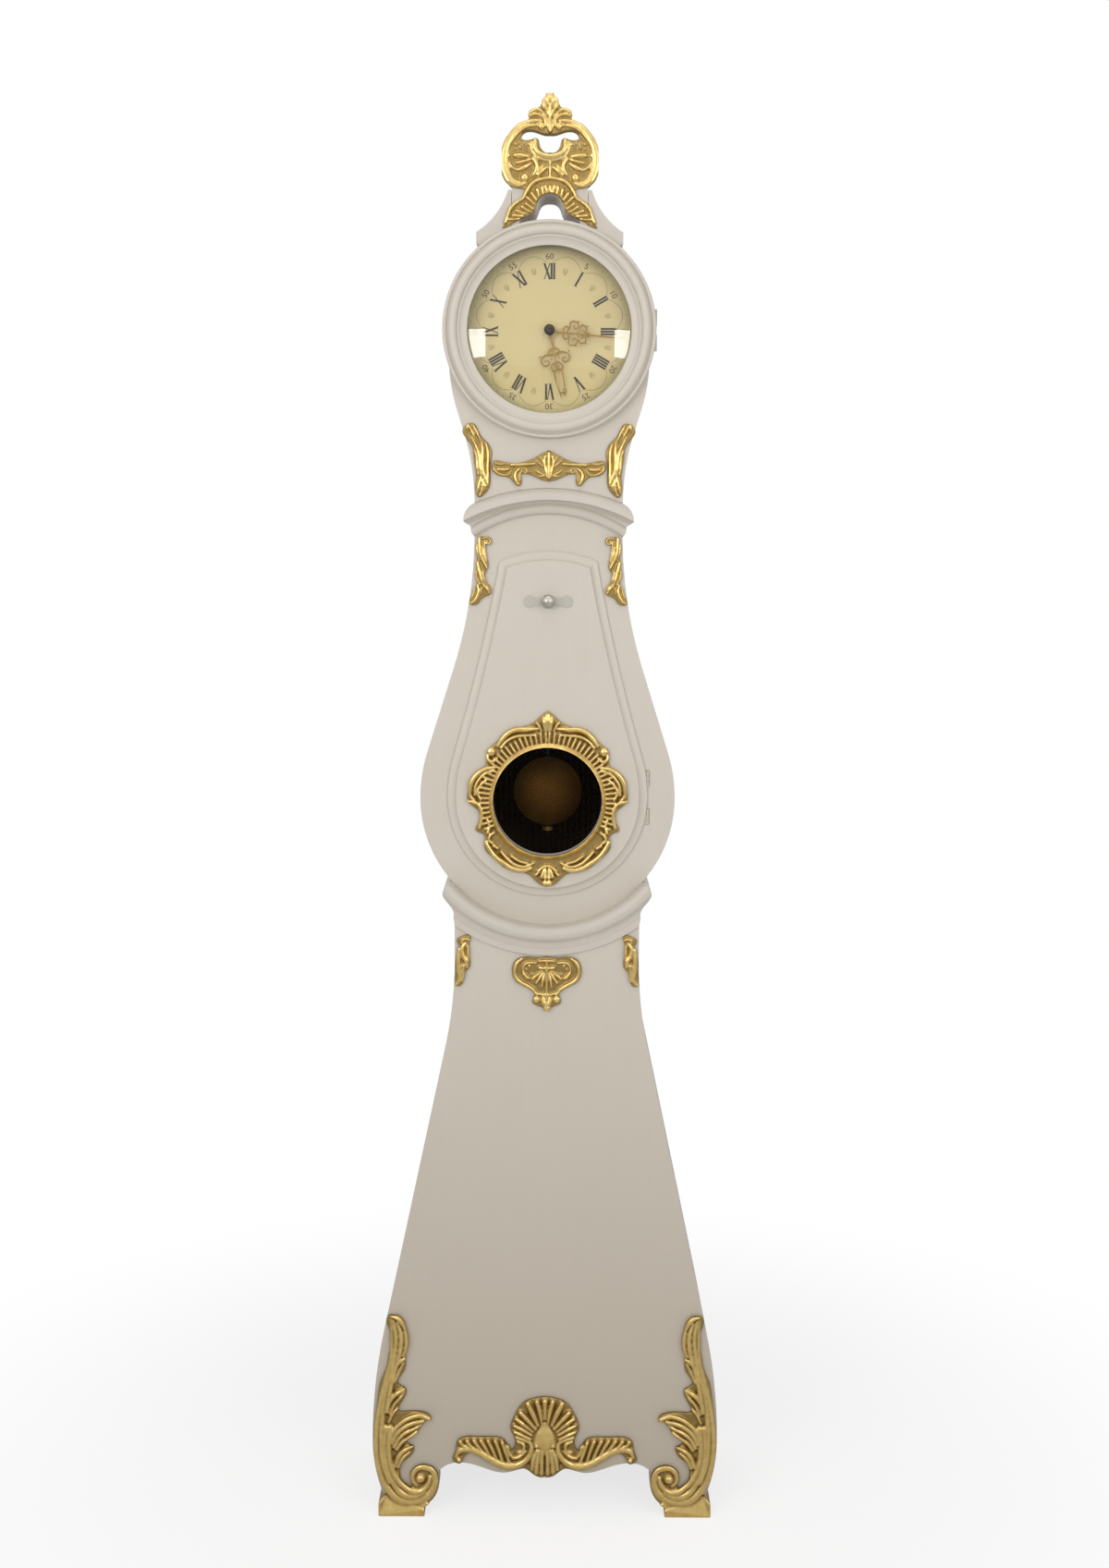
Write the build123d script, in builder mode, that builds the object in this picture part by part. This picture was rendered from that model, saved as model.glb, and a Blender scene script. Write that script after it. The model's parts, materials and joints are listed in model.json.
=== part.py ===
from build123d import *

import os
from math import acos, asin, atan2, cos, degrees, hypot, pi, radians, sin, sqrt

# Mora clock: a painted longcase with a round head, a pear-shaped waist and a flared base.
# Millimetres, +Z up. The front looks along -Y and the back is flush at back_y.
# The origin is on the floor, in the middle of the clock's width and depth.

# ---------------------------------------------------------------- depths
back_y = 140.0            # back face of the whole case
base_depth = 262.0        # base, from its front board to the back
waist_depth = 240.0       # waist frame to the back
hood_depth = 252.0        # hood board to the back
base_front = back_y - base_depth
waist_front = back_y - waist_depth
hood_front = back_y - hood_depth

# ---------------------------------------------------------------- boards
base_board_t = base_depth - waist_depth   # the base board lies in front of the waist frame
waist_board_t = 20.0
hood_board_t = 18.0
side_t = 14.0             # base and waist sides
wall_screw_drop = 90.0    # from the seatboard down to the wall screw's hole
back_t = 12.0             # back board
shell_t = 9.0             # bent hood shell
shell_inset = 2.0         # the shell stands this far inside the hood board's edge

# ---------------------------------------------------------------- base outline
base_neck_half = 154.0    # half width under the lower collar
base_foot_half = 297.0    # half width where the base is widest
base_foot_z = 131.0       # height of the widest place
base_sweep_z = 977.6      # the neck starts to widen here
base_neck_r = 697.0       # hollow sweep above the flank
base_hip_r = 957.0        # round sweep below it
base_ankle_r = 268.0      # the foot turning in again
base_board_top_z = 1060.0
base_side_top_z = 1090.0  # joint of base and waist sides, behind the lower collar
ankle_z = 35.0            # the leg board stops here, on the toe's high end

# apron edge of the front board, from the leg to the middle
apron_leg = (183.0, 77.0)
apron_crest = (158.0, 91.0)
apron_mid = (115.0, 86.0)
apron_dip = (68.0, 74.0)
apron_rise = (40.0, 81.0)
apron_centre = (0.0, 74.0)
scroll_low = (200.0, 19.0)   # lowest part of the leg board behind the foot scroll

# toes, one under each front leg
toe_outer = (287.0, 22.0)
toe_high_x = 276.0
toe_inner = (207.0, 12.0)
toe_board_x = 214.0       # the leg board stands on the toe from here outwards
toe_back_y = -70.0
toe_proud = 14.0          # how far the toe reaches in front of the leg board

# side boards' cut-outs between the front leg and the rear foot
side_arch_front_y = -60.0
side_arch_back_y = 86.0
side_arch_z = 90.0
side_arch_r = 30.0
back_arch_half = 205.0
back_arch_z = 78.0

# ---------------------------------------------------------------- waist outline
belly_r = 212.0
belly_z = 1247.0
waist_neck_half = 121.3
waist_flank_deg = 17.5
waist_neck_r = 748.0
waist_hip_r = 260.0
tongue_z = 992.0          # the frame's tongue behind the base board ends here

# ---------------------------------------------------------------- waist door
door_r = 166.0            # round lower end of the door
door_z = 1250.0
door_hip_r = 250.0
door_hip_deg = 16.5
door_flank_r = 3000.0
door_corner_z = 1640.0
door_arch_rise = 16.5
door_gap = 0.4            # the lip's back stands this far off the frame
door_lip = 12.0           # overlap of the lip on the frame
door_lip_edge = 3.0       # thickness of the lip at its rim
door_lip_t = 12.0         # thickness of the raised panel
door_plug_t = 10.0        # part that enters the opening
door_plug_gap = 2.0
door_cove = 14.0          # width of the hollow rim around the raised panel
cove_steps = 6
window_r = 90.5
window_z = 1244.3
window_rebate = 5.5       # the rebate is this much larger than the opening
window_glass_t = 3.0
window_glass_gap = 0.5
window_seat = 5.0         # depth of the rebate from the door's back

# ---------------------------------------------------------------- collars
collar_top_z = 1758.8     # top of the upper collar, under the hood's carvings
upper_collar_r = 316.0    # its arched top edge, on which the hood sits
upper_collar_z = collar_top_z - upper_collar_r   # centre of that arc
upper_ovolo_r = upper_collar_r - 19.0   # lower edge of the big round moulding
upper_cove_r = upper_collar_r - 27.0    # the hollow under it ends here
frame_top_r = upper_collar_r - 16.0     # arched top of frame and sides, hidden by the collar
upper_inner_r = upper_collar_r - 54.0   # blank that is trimmed to the small lower moulding
upper_bead_z = 1500.0     # centre of the small lower moulding
upper_bead_top_r = 234.0
upper_bead_low_r = 218.0
upper_collar_proud = 28.0
upper_bead_proud = 11.0
upper_band_proud = 6.0
upper_end = ((134.5, 1722.0), (138.4, 1704.0), (127.5, 1697.0), (126.3, 1687.0), (121.3, 1680.0))
lower_torus_r = 237.0
lower_cove_r = 250.0
lower_fillet_r = 260.5
lower_collar_proud = 16.0
lower_fillet_proud = 4.0
lower_high_z = 1106.0
lower_end = ((163.0, 1106.0), (172.0, 1098.0), (173.2, 1086.6), (164.0, 1072.0), (156.0, 1050.0))
lower_lip = 7.5           # part of the lower collar that fills the step behind it

# ---------------------------------------------------------------- hood
dial_z = 2011.5           # centre of the dial, the hood and the train
hood_r = 169.0
hood_neck_half = 120.9
hood_flank_half = 162.0
hood_flank_deg = 17.5
hood_neck_r = 383.0
hood_hip_r = 267.0
hood_neck_z = 1735.0
hood_opening_r = 136.0
hood_seat_gap = 0.3       # the hood slides on the upper collar

# ---------------------------------------------------------------- bezel door
bezel_r = 172.0
bezel_glass_r = 132.75
bezel_step_r = 145.0
bezel_bulge_r = (149.0, 156.0, 163.5)
bezel_groove_r = 166.0
bezel_bead_r = 169.2
bezel_lip_t = 9.0         # thickness at the glass
bezel_step_t = 14.5
bezel_bulge_t = 22.0
bezel_groove_t = 12.0
bezel_bead_t = 14.5
bezel_rim_t = 10.0
glass_t = 2.5
glass_rise = 11.5         # height of the dome
glass_rebate = 4.0
glass_seat = 3.0
glass_gap = 0.3

# ---------------------------------------------------------------- pediment and crest
pediment_depth = 100.0
plinth_half = 61.0
plinth_top_z = 2236.0
plinth_gap = 0.6          # thin open joint between plinth and shoulder
tunnel = ((49.0, 2182.0), (36.0, 2192.0), (24.0, 2199.0), (17.0, 2215.0), (0.0, 2225.0))
shoulder_top = (67.0, 2231.0)
shoulder_mid = (86.0, 2194.0)
shoulder_end = (118.0, 2165.0)
shoulder_block_z = 2148.0
shoulder_toe_x = 108.0
crest_t = 24.0
crest_proud = 8.0         # carving in front of the plinth

# ---------------------------------------------------------------- carvings
carving_t = 9.0
leg_carving_t = 12.0
rosette_lip_t = 13.0
rosette_lip_w = 8.0

# ---------------------------------------------------------------- hinges and knob
leaf_t = 1.2
leaf_w = 11.0
knuckle_r = 2.6
pin_r = 1.2
pin_fit = 0.05            # radial clearance of a hinge pin
knuckle_gap = 0.3
hinge_len = 26.0
hinge_clear = 0.4         # wood cut back around a knuckle
door_hinge_x = 167.0
door_hinge_off = 32.0     # hinges above and below the door's widest place
bezel_hinge_x = 171.0
bezel_hinge_off = 20.0
knob_z = 1575.5
knob_r = 11.0
knob_len = 20.0
knob_neck_r = 5.0
knob_shaft_r = 4.0
shaft_fit = 0.05
plate_half = 40.0         # lobed plate behind the knob
plate_lobe_r = 9.5
plate_rise = 12.0
plate_t = 2.0
latch_reach = 88.0
latch_w = 14.0
latch_t = 4.0
latch_gap = 0.5

# ---------------------------------------------------------------- movement frame
seat_z = dial_z - 75.0    # top of the seatboard
seat_t = 22.0
seat_front_y = -66.0
seat_back_y = 12.0
seat_slot_r = 6.0         # opening for each line
cheek_in = 15.0           # thickness of the cheeks inside the hood
cheek_low_z = 1600.0
cheek_front_y = -72.0
head_gap = 2.0            # back board's head inside the cheeks
plate_w = 116.0
plate_h = 172.0
brass_t = 3.0
front_plate_y = -62.0     # front face of the front plate
back_plate_y = 6.0        # front face of the back plate
pillar_r = 4.5
pillar_in = 9.0
arbor_r = 2.0
pivot_fit = 0.05
dial_y = -86.0            # front face of the dial
dial_r = 142.0
dial_t = 1.5
dial_foot_r = 4.0
dial_foot_at = 44.0
dial_hole_r = 6.0

# ---------------------------------------------------------------- going train
great_teeth = 72
centre_pinion_teeth = 12
great_m = 0.9
centre_teeth = 80
third_pinion_teeth = 10
centre_m = 0.8
third_teeth = 81
escape_pinion_teeth = 10
third_m = 0.7
escape_teeth = 30
escape_r = 20.0
escape_root_r = 16.0
third_deg = 58.65         # from the centre arbor to the third
escape_deg = 126.0        # from the third arbor to the escape arbor
great_at = (0.0, dial_z - great_m * (great_teeth + centre_pinion_teeth) / 2)
centre_at = (0.0, dial_z)
third_dist = centre_m * (centre_teeth + third_pinion_teeth) / 2
third_at = (third_dist * cos(radians(third_deg)), dial_z + third_dist * sin(radians(third_deg)))
escape_at = (0.0, dial_z + 56.5)
anchor_at = (0.0, dial_z + 84.5)
wheel_t = 2.5
rim_w = 3.5
great_wheel_y = -50.0
centre_pinion_y = (-52.0, -45.0)
third_pinion_y = (-23.0, -14.5)
escape_pinion_y = (-12.0, -5.0)
sheave_r = 28.0           # radius of the line around the sheave
sheave_front_y = -44.0
sheave_back_y = -30.0
sheave_flange_r = 31.5
sheave_flange_t = 2.0
rope_y = -37.0
rope_r = 1.3
rope_gap = 0.3
centre_wheel_y = -20.0
third_wheel_y = -10.0
escape_wheel_y = -30.0

# ---------------------------------------------------------------- motion work and hands
cannon_teeth = 30
minute_teeth = 60
minute_pinion_teeth = 10
hour_teeth = 60
motion_dist = 27.0
motion_deg = 225.0
motion_y = -67.0
hour_wheel_y = -74.0
cannon_pipe_r = 3.2
hour_pipe_r = 4.6
pipe_fit = 0.08
hour_len = 101.0
minute_len = 125.0
hand_t = 1.2
hour_hand_y = -92.0       # back face of the hour hand
minute_hand_y = -95.8
hour_deg = 167.6          # clockwise from twelve
minute_deg = 95.4
boss_r = 8.7
boss_t = 6.0

# ---------------------------------------------------------------- pendulum, weight and line
pendulum_y = 28.0
bob_z = window_z
bob_r = 59.0
bob_t = 22.0
bob_edge_t = 4.0
rod_w = 5.0
rod_t = 3.0
rod_end_z = 1168.0
nut_r = 8.0
nut_t = 6.0
nut_top_z = 1182.0
eye_r = 5.0
cock_y = 17.0
cock_t = 5.0
stud_len = 11.0
crutch_y = 12.0
crutch_len = 60.0
crutch_gap = 0.5
weight_r = 30.0
weight_len = 120.0
weight_top_z = 1640.0     # top of its hook
hook_r = 7.0
hook_wire_r = 1.6
ring_r = 14.0
ring_tube_r = 3.0
ring_z = 1400.0           # centre of the counterweight ring
line_gap = 0.5

# ---------------------------------------------------------------- places that follow
door_hinge_y = waist_front - door_gap / 2
door_hinges = [door_z - door_hinge_off, door_z + door_hinge_off]
door_back = waist_front - door_gap
door_front = door_back - door_lip_t
plug_back = door_back + door_plug_t
bezel_hinge_y = hood_front - door_gap / 2
bezel_hinges = [dial_z - bezel_hinge_off, dial_z + bezel_hinge_off]
bezel_back = hood_front - door_gap
pediment_back = hood_front + pediment_depth
hood_board_back = hood_front + hood_board_t
frame_back = waist_front + waist_board_t
latch_y = frame_back + latch_gap
seat_half = waist_neck_half - side_t      # inside of the waist's neck
arbor_front = front_plate_y - 1
arbor_back = back_plate_y + brass_t + 1

os.makedirs("parts", exist_ok=True)


# ---------------------------------------------------------------- helpers
def facing(y):
    """Upright plane at depth y; what is drawn on it extrudes forwards, to the viewer."""
    return Plane.XZ.offset(-y)


def base_flank(shift, top_z, low_z):
    """Right-hand side line of the base from top_z down to low_z, moved inwards by shift."""
    bend = base_neck_r + base_hip_r
    out, down = base_foot_half - base_neck_half, base_sweep_z - base_foot_z
    lean = atan2(down, bend - out) - acos(bend / hypot(bend - out, down))
    run = (out - bend * (1 - cos(lean))) / sin(lean)
    top = Line((base_neck_half - shift, top_z), (base_neck_half - shift, base_sweep_z))
    hollow = JernArc(top @ 1, (0, -1), base_neck_r, degrees(lean))
    straight = PolarLine(hollow @ 1, run, direction=hollow % 1)
    hip = JernArc(straight @ 1, straight % 1, base_hip_r, -degrees(lean))
    angle = degrees(asin((base_foot_z - low_z) / base_ankle_r))
    ankle = JernArc(hip @ 1, (0, -1), base_ankle_r, -angle)
    return [top, hollow, straight, hip, ankle]


def waist_flank(shift, low_z):
    """Right-hand side line of the waist from its arched top, round the belly to low_z."""
    lean = radians(waist_flank_deg)
    turn = (waist_neck_r + waist_hip_r) * (1 - cos(lean))
    run = (belly_r - waist_neck_half - turn) / sin(lean)
    neck_z = belly_z + (waist_neck_r + waist_hip_r) * sin(lean) + run * cos(lean)
    half = waist_neck_half - shift
    top_z = upper_collar_z + sqrt(frame_top_r**2 - half**2)
    top = Line((half, top_z), (half, neck_z))
    hollow = JernArc(top @ 1, (0, -1), waist_neck_r, waist_flank_deg)
    straight = PolarLine(hollow @ 1, run, direction=hollow % 1)
    hip = JernArc(straight @ 1, straight % 1, waist_hip_r, -waist_flank_deg)
    drop = degrees(asin((belly_z - low_z) / belly_r))
    belly = JernArc(hip @ 1, (0, -1), belly_r, -drop)
    return [top, hollow, straight, hip, belly]


def waist_face(shift, low_z, mode=Mode.ADD):
    """Whole front view of the waist under its arched top."""
    with BuildLine() as outline:
        lines = waist_flank(shift, low_z)
        Line(lines[-1] @ 1, (0, low_z))
        mirror(about=Plane.YZ)
        corner = lines[0] @ 0
        ThreePointArc(corner, (0, upper_collar_z + frame_top_r), (-corner.X, corner.Y))
    make_face(outline.edges(), mode=mode)


def hood_face(shift, mode=Mode.ADD):
    """Front view of the hood: the round head and its neck, open-ended below the collar."""
    lean = radians(hood_flank_deg)
    turn = (hood_neck_r + hood_hip_r) * (1 - cos(lean))
    run = (hood_flank_half - hood_neck_half - turn) / sin(lean)
    high_z = hood_neck_z + (hood_neck_r + hood_hip_r) * sin(lean) + run * cos(lean)
    with Locations((0, dial_z)):
        Circle(hood_r - shift, mode=mode)
    with BuildLine() as outline:
        start = Line((0, high_z), (hood_flank_half - shift, high_z))
        hip = JernArc(start @ 1, (0, -1), hood_hip_r, -hood_flank_deg)
        straight = PolarLine(hip @ 1, run, direction=hip % 1)
        hollow = JernArc(straight @ 1, straight % 1, hood_neck_r, hood_flank_deg)
        foot = Line(hollow @ 1, (hood_neck_half - shift, upper_collar_z + upper_collar_r / 2))
        Line(foot @ 1, (0, (foot @ 1).Y))
        mirror(about=Plane.YZ)
    make_face(outline.edges(), mode=mode)


def hood_seat(y0, y1):
    """Cuts the arched lower edge that rides on the upper collar."""
    rod(0, upper_collar_z, y0, y1, upper_collar_r + hood_seat_gap, Mode.SUBTRACT)


def door_face():
    """Front view of the waist door: a round lower end, hollow flanks and an arched top."""
    lean = radians(door_hip_deg)
    rise = door_corner_z - door_z - door_hip_r * sin(lean)
    turn = door_hip_deg - degrees(asin(sin(lean) - rise / door_flank_r))
    with BuildLine() as outline:
        JernArc((door_r, door_z), (0, -1), door_r, -90)
        hip = JernArc((door_r, door_z), (0, 1), door_hip_r, door_hip_deg)
        flank = JernArc(hip @ 1, hip % 1, door_flank_r, -turn)
        mirror(about=Plane.YZ)
        corner = flank @ 1
        ThreePointArc(corner, (0, corner.Y + door_arch_rise), (-corner.X, corner.Y))
    make_face(outline.edges())


def box_between(x0, x1, y0, y1, z0, z1, mode=Mode.ADD):
    """A block given by its six faces."""
    with Locations(((x0 + x1) / 2, (y0 + y1) / 2, (z0 + z1) / 2)):
        Box(x1 - x0, y1 - y0, z1 - z0, mode=mode)


def rod(x, z, y0, y1, radius, mode=Mode.ADD):
    """A round bar, or the bore for one, along Y from depth y0 (front) to y1 (back)."""
    with BuildSketch(facing(y1)) as section:
        with Locations((x, z)):
            Circle(radius)
    extrude(section.sketch, amount=y1 - y0, mode=mode)


def spur(at, y0, y1, teeth, module, phase, thick=0.36):
    """A gear along Y with plain straight-flanked teeth, one of them at angle phase."""
    tip = module * (teeth / 2 + 0.85)
    root = module * (teeth / 2 - 1.25)
    pitch = 2 * pi / teeth
    points = []
    for tooth in range(teeth):
        middle = radians(phase) + tooth * pitch
        for radius, share in ((root, -0.65), (tip, -0.25), (tip, 0.25), (root, 0.65)):
            angle = middle + share * thick * pitch
            points.append((at[0] + radius * cos(angle), at[1] + radius * sin(angle)))
    with BuildSketch(facing(y1)) as section:
        with BuildLine():
            Polyline(*points, points[0])
        make_face()
    extrude(section.sketch, amount=y1 - y0)


def gap_toward(teeth, angle):
    """Phase that puts a gap between two teeth at the given angle."""
    return angle + 180.0 / teeth


def crossings(at, y0, y1, outer, inner):
    """Opens a wheel into a rim, a hub and four arms."""
    with BuildSketch(facing(y1)) as section:
        with Locations(at):
            Circle(outer)
            Circle(inner, mode=Mode.SUBTRACT)
            Rectangle(2 * outer + 1, rim_w, mode=Mode.SUBTRACT)
            Rectangle(rim_w, 2 * outer + 1, mode=Mode.SUBTRACT)
    extrude(section.sketch, amount=y1 - y0, mode=Mode.SUBTRACT)


def turned(z, build_profile):
    """A piece turned about the Y direction at height z, from a profile in radius and depth."""
    with BuildSketch(Plane.XY.offset(z)) as section:
        with BuildLine():
            build_profile()
        make_face()
    revolve(section.sketch, axis=Axis((0, 0, z), (0, 1, 0)))


def cap(apex_y, radius, rise):
    """Arc of a ball's cap from the axis outwards; a negative rise falls towards the viewer."""
    ball_r = (radius**2 + rise**2) / (2 * abs(rise))
    angle = degrees(asin(radius / ball_r))
    return JernArc((0, apex_y), (1, 0), ball_r, angle if rise > 0 else -angle)


def carving(points, back, thickness, sign):
    """A flat carved piece with a smooth closed outline; the points are its left-hand form."""
    ring = [(-sign * x, z) for x, z in points]
    with BuildSketch(facing(back)) as section:
        with BuildLine():
            Spline(*ring, periodic=True)
        make_face()
    extrude(section.sketch, amount=thickness)


def half_carving(points, back, thickness):
    """A symmetrical carved piece from the chain of its left half, top to bottom."""
    with BuildSketch(facing(back)) as section:
        with BuildLine():
            Spline(*points)
            mirror(about=Plane.YZ)
        make_face()
    extrude(section.sketch, amount=thickness)


def fixed_leaf(x, y, z):
    """Hinge half on the case: leaf behind the axis, end knuckles and the pin."""
    third = hinge_len / 3
    low = y + door_gap / 2
    box_between(x - leaf_w, x, low, low + leaf_t, z - hinge_len / 2, z + hinge_len / 2)
    with Locations((x, y, z)):
        Cylinder(knuckle_r + knuckle_gap, third, mode=Mode.SUBTRACT)
    with Locations((x, y, z - third), (x, y, z + third)):
        Cylinder(knuckle_r, third)
    with Locations((x, y, z)):
        Cylinder(pin_r, hinge_len)


def moving_leaf(x, y, z):
    """Hinge half on the door: leaf in front of the axis and the middle knuckle."""
    third = hinge_len / 3
    low = y - door_gap / 2 - leaf_t
    box_between(x - leaf_w, x, low, low + leaf_t, z - hinge_len / 2, z + hinge_len / 2)
    with Locations((x, y, z - third), (x, y, z + third)):
        Cylinder(knuckle_r + knuckle_gap, third + 2 * knuckle_gap, mode=Mode.SUBTRACT)
    with Locations((x, y, z)):
        Cylinder(knuckle_r, third - 2 * knuckle_gap)
        Cylinder(pin_r + pin_fit, third, mode=Mode.SUBTRACT)


def hinge_recess(x, y, z, behind):
    """Room in the wood for one leaf, behind the axis or in front, and for the knuckles."""
    low = y + door_gap / 2 if behind else y - door_gap / 2 - leaf_t
    half = hinge_len / 2
    box_between(x - leaf_w, x, low, low + leaf_t, z - half, z + half, Mode.SUBTRACT)
    with Locations((x, y, z)):
        Cylinder(knuckle_r + hinge_clear, hinge_len + 2 * hinge_clear, mode=Mode.SUBTRACT)


# ---------------------------------------------------------------- base
with BuildPart() as base_front_board:
    with BuildSketch(facing(waist_front)):
        with BuildLine():
            flank = base_flank(0, base_board_top_z, ankle_z)
            toe_slope = (ankle_z - toe_inner[1]) / (toe_high_x - toe_inner[0])
            heel = (toe_board_x, toe_inner[1] + toe_slope * (toe_board_x - toe_inner[0]))
            Polyline(flank[-1] @ 1, (toe_high_x, ankle_z), heel)
            Spline(heel, scroll_low, (apron_leg[0], (scroll_low[1] + apron_leg[1]) / 2), apron_leg)
            Spline(apron_leg, apron_crest, apron_mid, apron_dip, apron_rise, apron_centre)
            Line(flank[0] @ 0, (0, base_board_top_z))
            mirror(about=Plane.YZ)
        make_face()
        with Locations((0, belly_z)):
            Circle(belly_r + lower_lip, mode=Mode.SUBTRACT)
    extrude(amount=base_board_t)
base_front_board.part.label = "base_front_board"
export_step(base_front_board.part, "parts/base_front_board.step")

for side, sign in (("left", -1), ("right", 1)):
    with BuildPart() as base_side:
        with BuildSketch(facing(back_y)):
            with BuildLine():
                outer = base_flank(0, base_side_top_z, 0)
                inner = base_flank(side_t, base_side_top_z, 0)
                Line(outer[0] @ 0, inner[0] @ 0)
                Line(outer[-1] @ 1, inner[-1] @ 1)
            make_face()
        extrude(amount=waist_depth)
        with BuildSketch(Plane.YZ):
            with BuildLine():
                Polyline(
                    (side_arch_front_y, side_arch_z),
                    (side_arch_front_y, ankle_z),
                    (waist_front - 1, ankle_z),
                    (waist_front - 1, -1),
                    (side_arch_back_y, -1),
                    (side_arch_back_y, side_arch_z),
                    close=True,
                )
            make_face()
            fillet(vertices().group_by(Axis.Y)[-1], side_arch_r)
        extrude(amount=base_foot_half + 10, mode=Mode.SUBTRACT)
        if sign < 0:
            mirror(about=Plane.YZ, mode=Mode.REPLACE)
    base_side.part.label = f"base_side_{side}"
    export_step(base_side.part, f"parts/base_side_{side}.step")

with BuildPart() as back_board:
    with BuildSketch(facing(back_y)):
        with BuildLine():
            flank = base_flank(side_t, base_side_top_z, 0)
            Line(flank[-1] @ 1, (0, 0))
            Line(flank[0] @ 0, (0, base_side_top_z))
            mirror(about=Plane.YZ)
        make_face()
        waist_face(side_t, base_side_top_z)
        with Locations((0, (base_side_top_z + anchor_at[1]) / 2)):
            Rectangle(2 * (seat_half - head_gap), anchor_at[1] - base_side_top_z)
        Rectangle(2 * back_arch_half, 2 * back_arch_z, mode=Mode.SUBTRACT)
        with Locations((0, seat_z - wall_screw_drop)):
            Circle(3.0, mode=Mode.SUBTRACT)
    extrude(amount=back_t)
back_board.part.label = "back_board"
export_step(back_board.part, "parts/back_board.step")


def lower_collar_profile():
    front = base_front - lower_collar_proud
    shoulder = base_front - lower_fillet_proud
    torus_mid = (belly_r + lower_torus_r) / 2
    Line((belly_r, waist_front), (belly_r, base_front - 2))
    ThreePointArc((belly_r, base_front - 2), (torus_mid, front), (lower_torus_r, shoulder + 1))
    ThreePointArc(
        (lower_torus_r, shoulder + 1),
        (lower_torus_r + 5, base_front - 0.8),
        (lower_cove_r, shoulder),
    )
    Polyline(
        (lower_cove_r, shoulder),
        (lower_fillet_r, shoulder),
        (lower_fillet_r, base_front),
        (belly_r + lower_lip, base_front),
        (belly_r + lower_lip, waist_front),
        (belly_r, waist_front),
    )


# The lower collar is turned about the middle of the belly, cut to its two ends,
# and returned along the sides to the back.
with BuildPart() as lower_collar:
    turned(belly_z, lower_collar_profile)
    return_low_z = lower_end[-1][1] - 16
    with BuildSketch(facing(back_y)):
        with Locations((0, (lower_high_z + return_low_z) / 2)):
            Rectangle(2 * belly_r, lower_high_z - return_low_z)
        with Locations((0, belly_z)):
            Circle(belly_r, mode=Mode.SUBTRACT)
    extrude(amount=base_depth)
    with BuildSketch(facing(back_y)):
        with BuildLine():
            Line((0, lower_high_z), lower_end[0])
            Spline(*lower_end)
            Polyline(lower_end[-1], (base_neck_half, 1038), (base_neck_half, 940), (0, 940))
            mirror(about=Plane.YZ)
        make_face()
    extrude(amount=base_depth + lower_collar_proud, mode=Mode.INTERSECT)
    with BuildSketch(facing(waist_front)):
        Rectangle(2 * base_neck_half, 2 * base_board_top_z)
        with Locations((0, belly_z)):
            Circle(belly_r + lower_lip, mode=Mode.SUBTRACT)
    extrude(amount=base_board_t, mode=Mode.SUBTRACT)
    neck_in = base_neck_half - side_t
    box_between(-neck_in, neck_in, waist_front, back_y, 900, 1200, Mode.SUBTRACT)
    box_between(
        -base_neck_half, base_neck_half, waist_front, back_y, 900, base_side_top_z, Mode.SUBTRACT
    )
lower_collar.part.label = "lower_collar"
export_step(lower_collar.part, "parts/lower_collar.step")

# ---------------------------------------------------------------- waist
with BuildPart() as waist_front_frame:
    with BuildSketch(facing(frame_back)):
        waist_face(0, base_side_top_z)
        with Locations((0, (tongue_z + base_side_top_z) / 2)):
            Rectangle(2 * (base_neck_half - side_t), base_side_top_z - tongue_z)
    extrude(amount=waist_board_t)
    with BuildSketch(facing(frame_back)):
        door_face()
        offset(amount=-(door_lip - door_plug_gap), mode=Mode.REPLACE)
    extrude(amount=waist_board_t, mode=Mode.SUBTRACT)
    for z in door_hinges:
        hinge_recess(door_hinge_x, door_hinge_y, z, behind=True)
waist_front_frame.part.label = "waist_front_frame"
export_step(waist_front_frame.part, "parts/waist_front_frame.step")

for side, sign in (("left", -1), ("right", 1)):
    with BuildPart() as waist_side:
        with BuildSketch(facing(back_y)):
            with BuildLine():
                outer = waist_flank(0, base_side_top_z)
                inner = waist_flank(side_t, base_side_top_z)
                Line(outer[0] @ 0, inner[0] @ 0)
                Line(outer[-1] @ 1, inner[-1] @ 1)
            make_face()
        extrude(amount=back_y - frame_back)
        cheek_x = seat_half - cheek_in
        cheek_top_z = seat_z - seat_t
        box_between(cheek_x, seat_half, cheek_front_y, back_y - back_t, cheek_low_z, cheek_top_z)
        if sign < 0:
            mirror(about=Plane.YZ, mode=Mode.REPLACE)
    waist_side.part.label = f"waist_side_{side}"
    export_step(waist_side.part, f"parts/waist_side_{side}.step")


def upper_ovolo_profile():
    front = waist_front - upper_collar_proud
    band = waist_front - upper_band_proud
    swell = (upper_ovolo_r + 12.5, hood_front - 11.5)
    ThreePointArc((upper_collar_r, hood_front), swell, (upper_ovolo_r, front))
    hollow = (upper_ovolo_r - 1.8, (front + band) / 2 + 3)
    ThreePointArc((upper_ovolo_r, front), hollow, (upper_cove_r, band))
    Polyline(
        (upper_cove_r, band),
        (upper_inner_r, band),
        (upper_inner_r, waist_front),
        (frame_top_r, waist_front),
        (frame_top_r, frame_back),
        (upper_collar_r, frame_back),
        (upper_collar_r, hood_front),
    )


def upper_bead_profile():
    front = waist_front - upper_bead_proud
    band = waist_front - upper_band_proud
    middle = (upper_bead_top_r + upper_bead_low_r) / 2
    ThreePointArc((upper_bead_top_r, band), (middle, front), (upper_bead_low_r, band))
    Polyline(
        (upper_bead_low_r, band),
        (upper_bead_low_r, waist_front),
        (upper_bead_top_r, waist_front),
        (upper_bead_top_r, band),
    )


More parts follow.
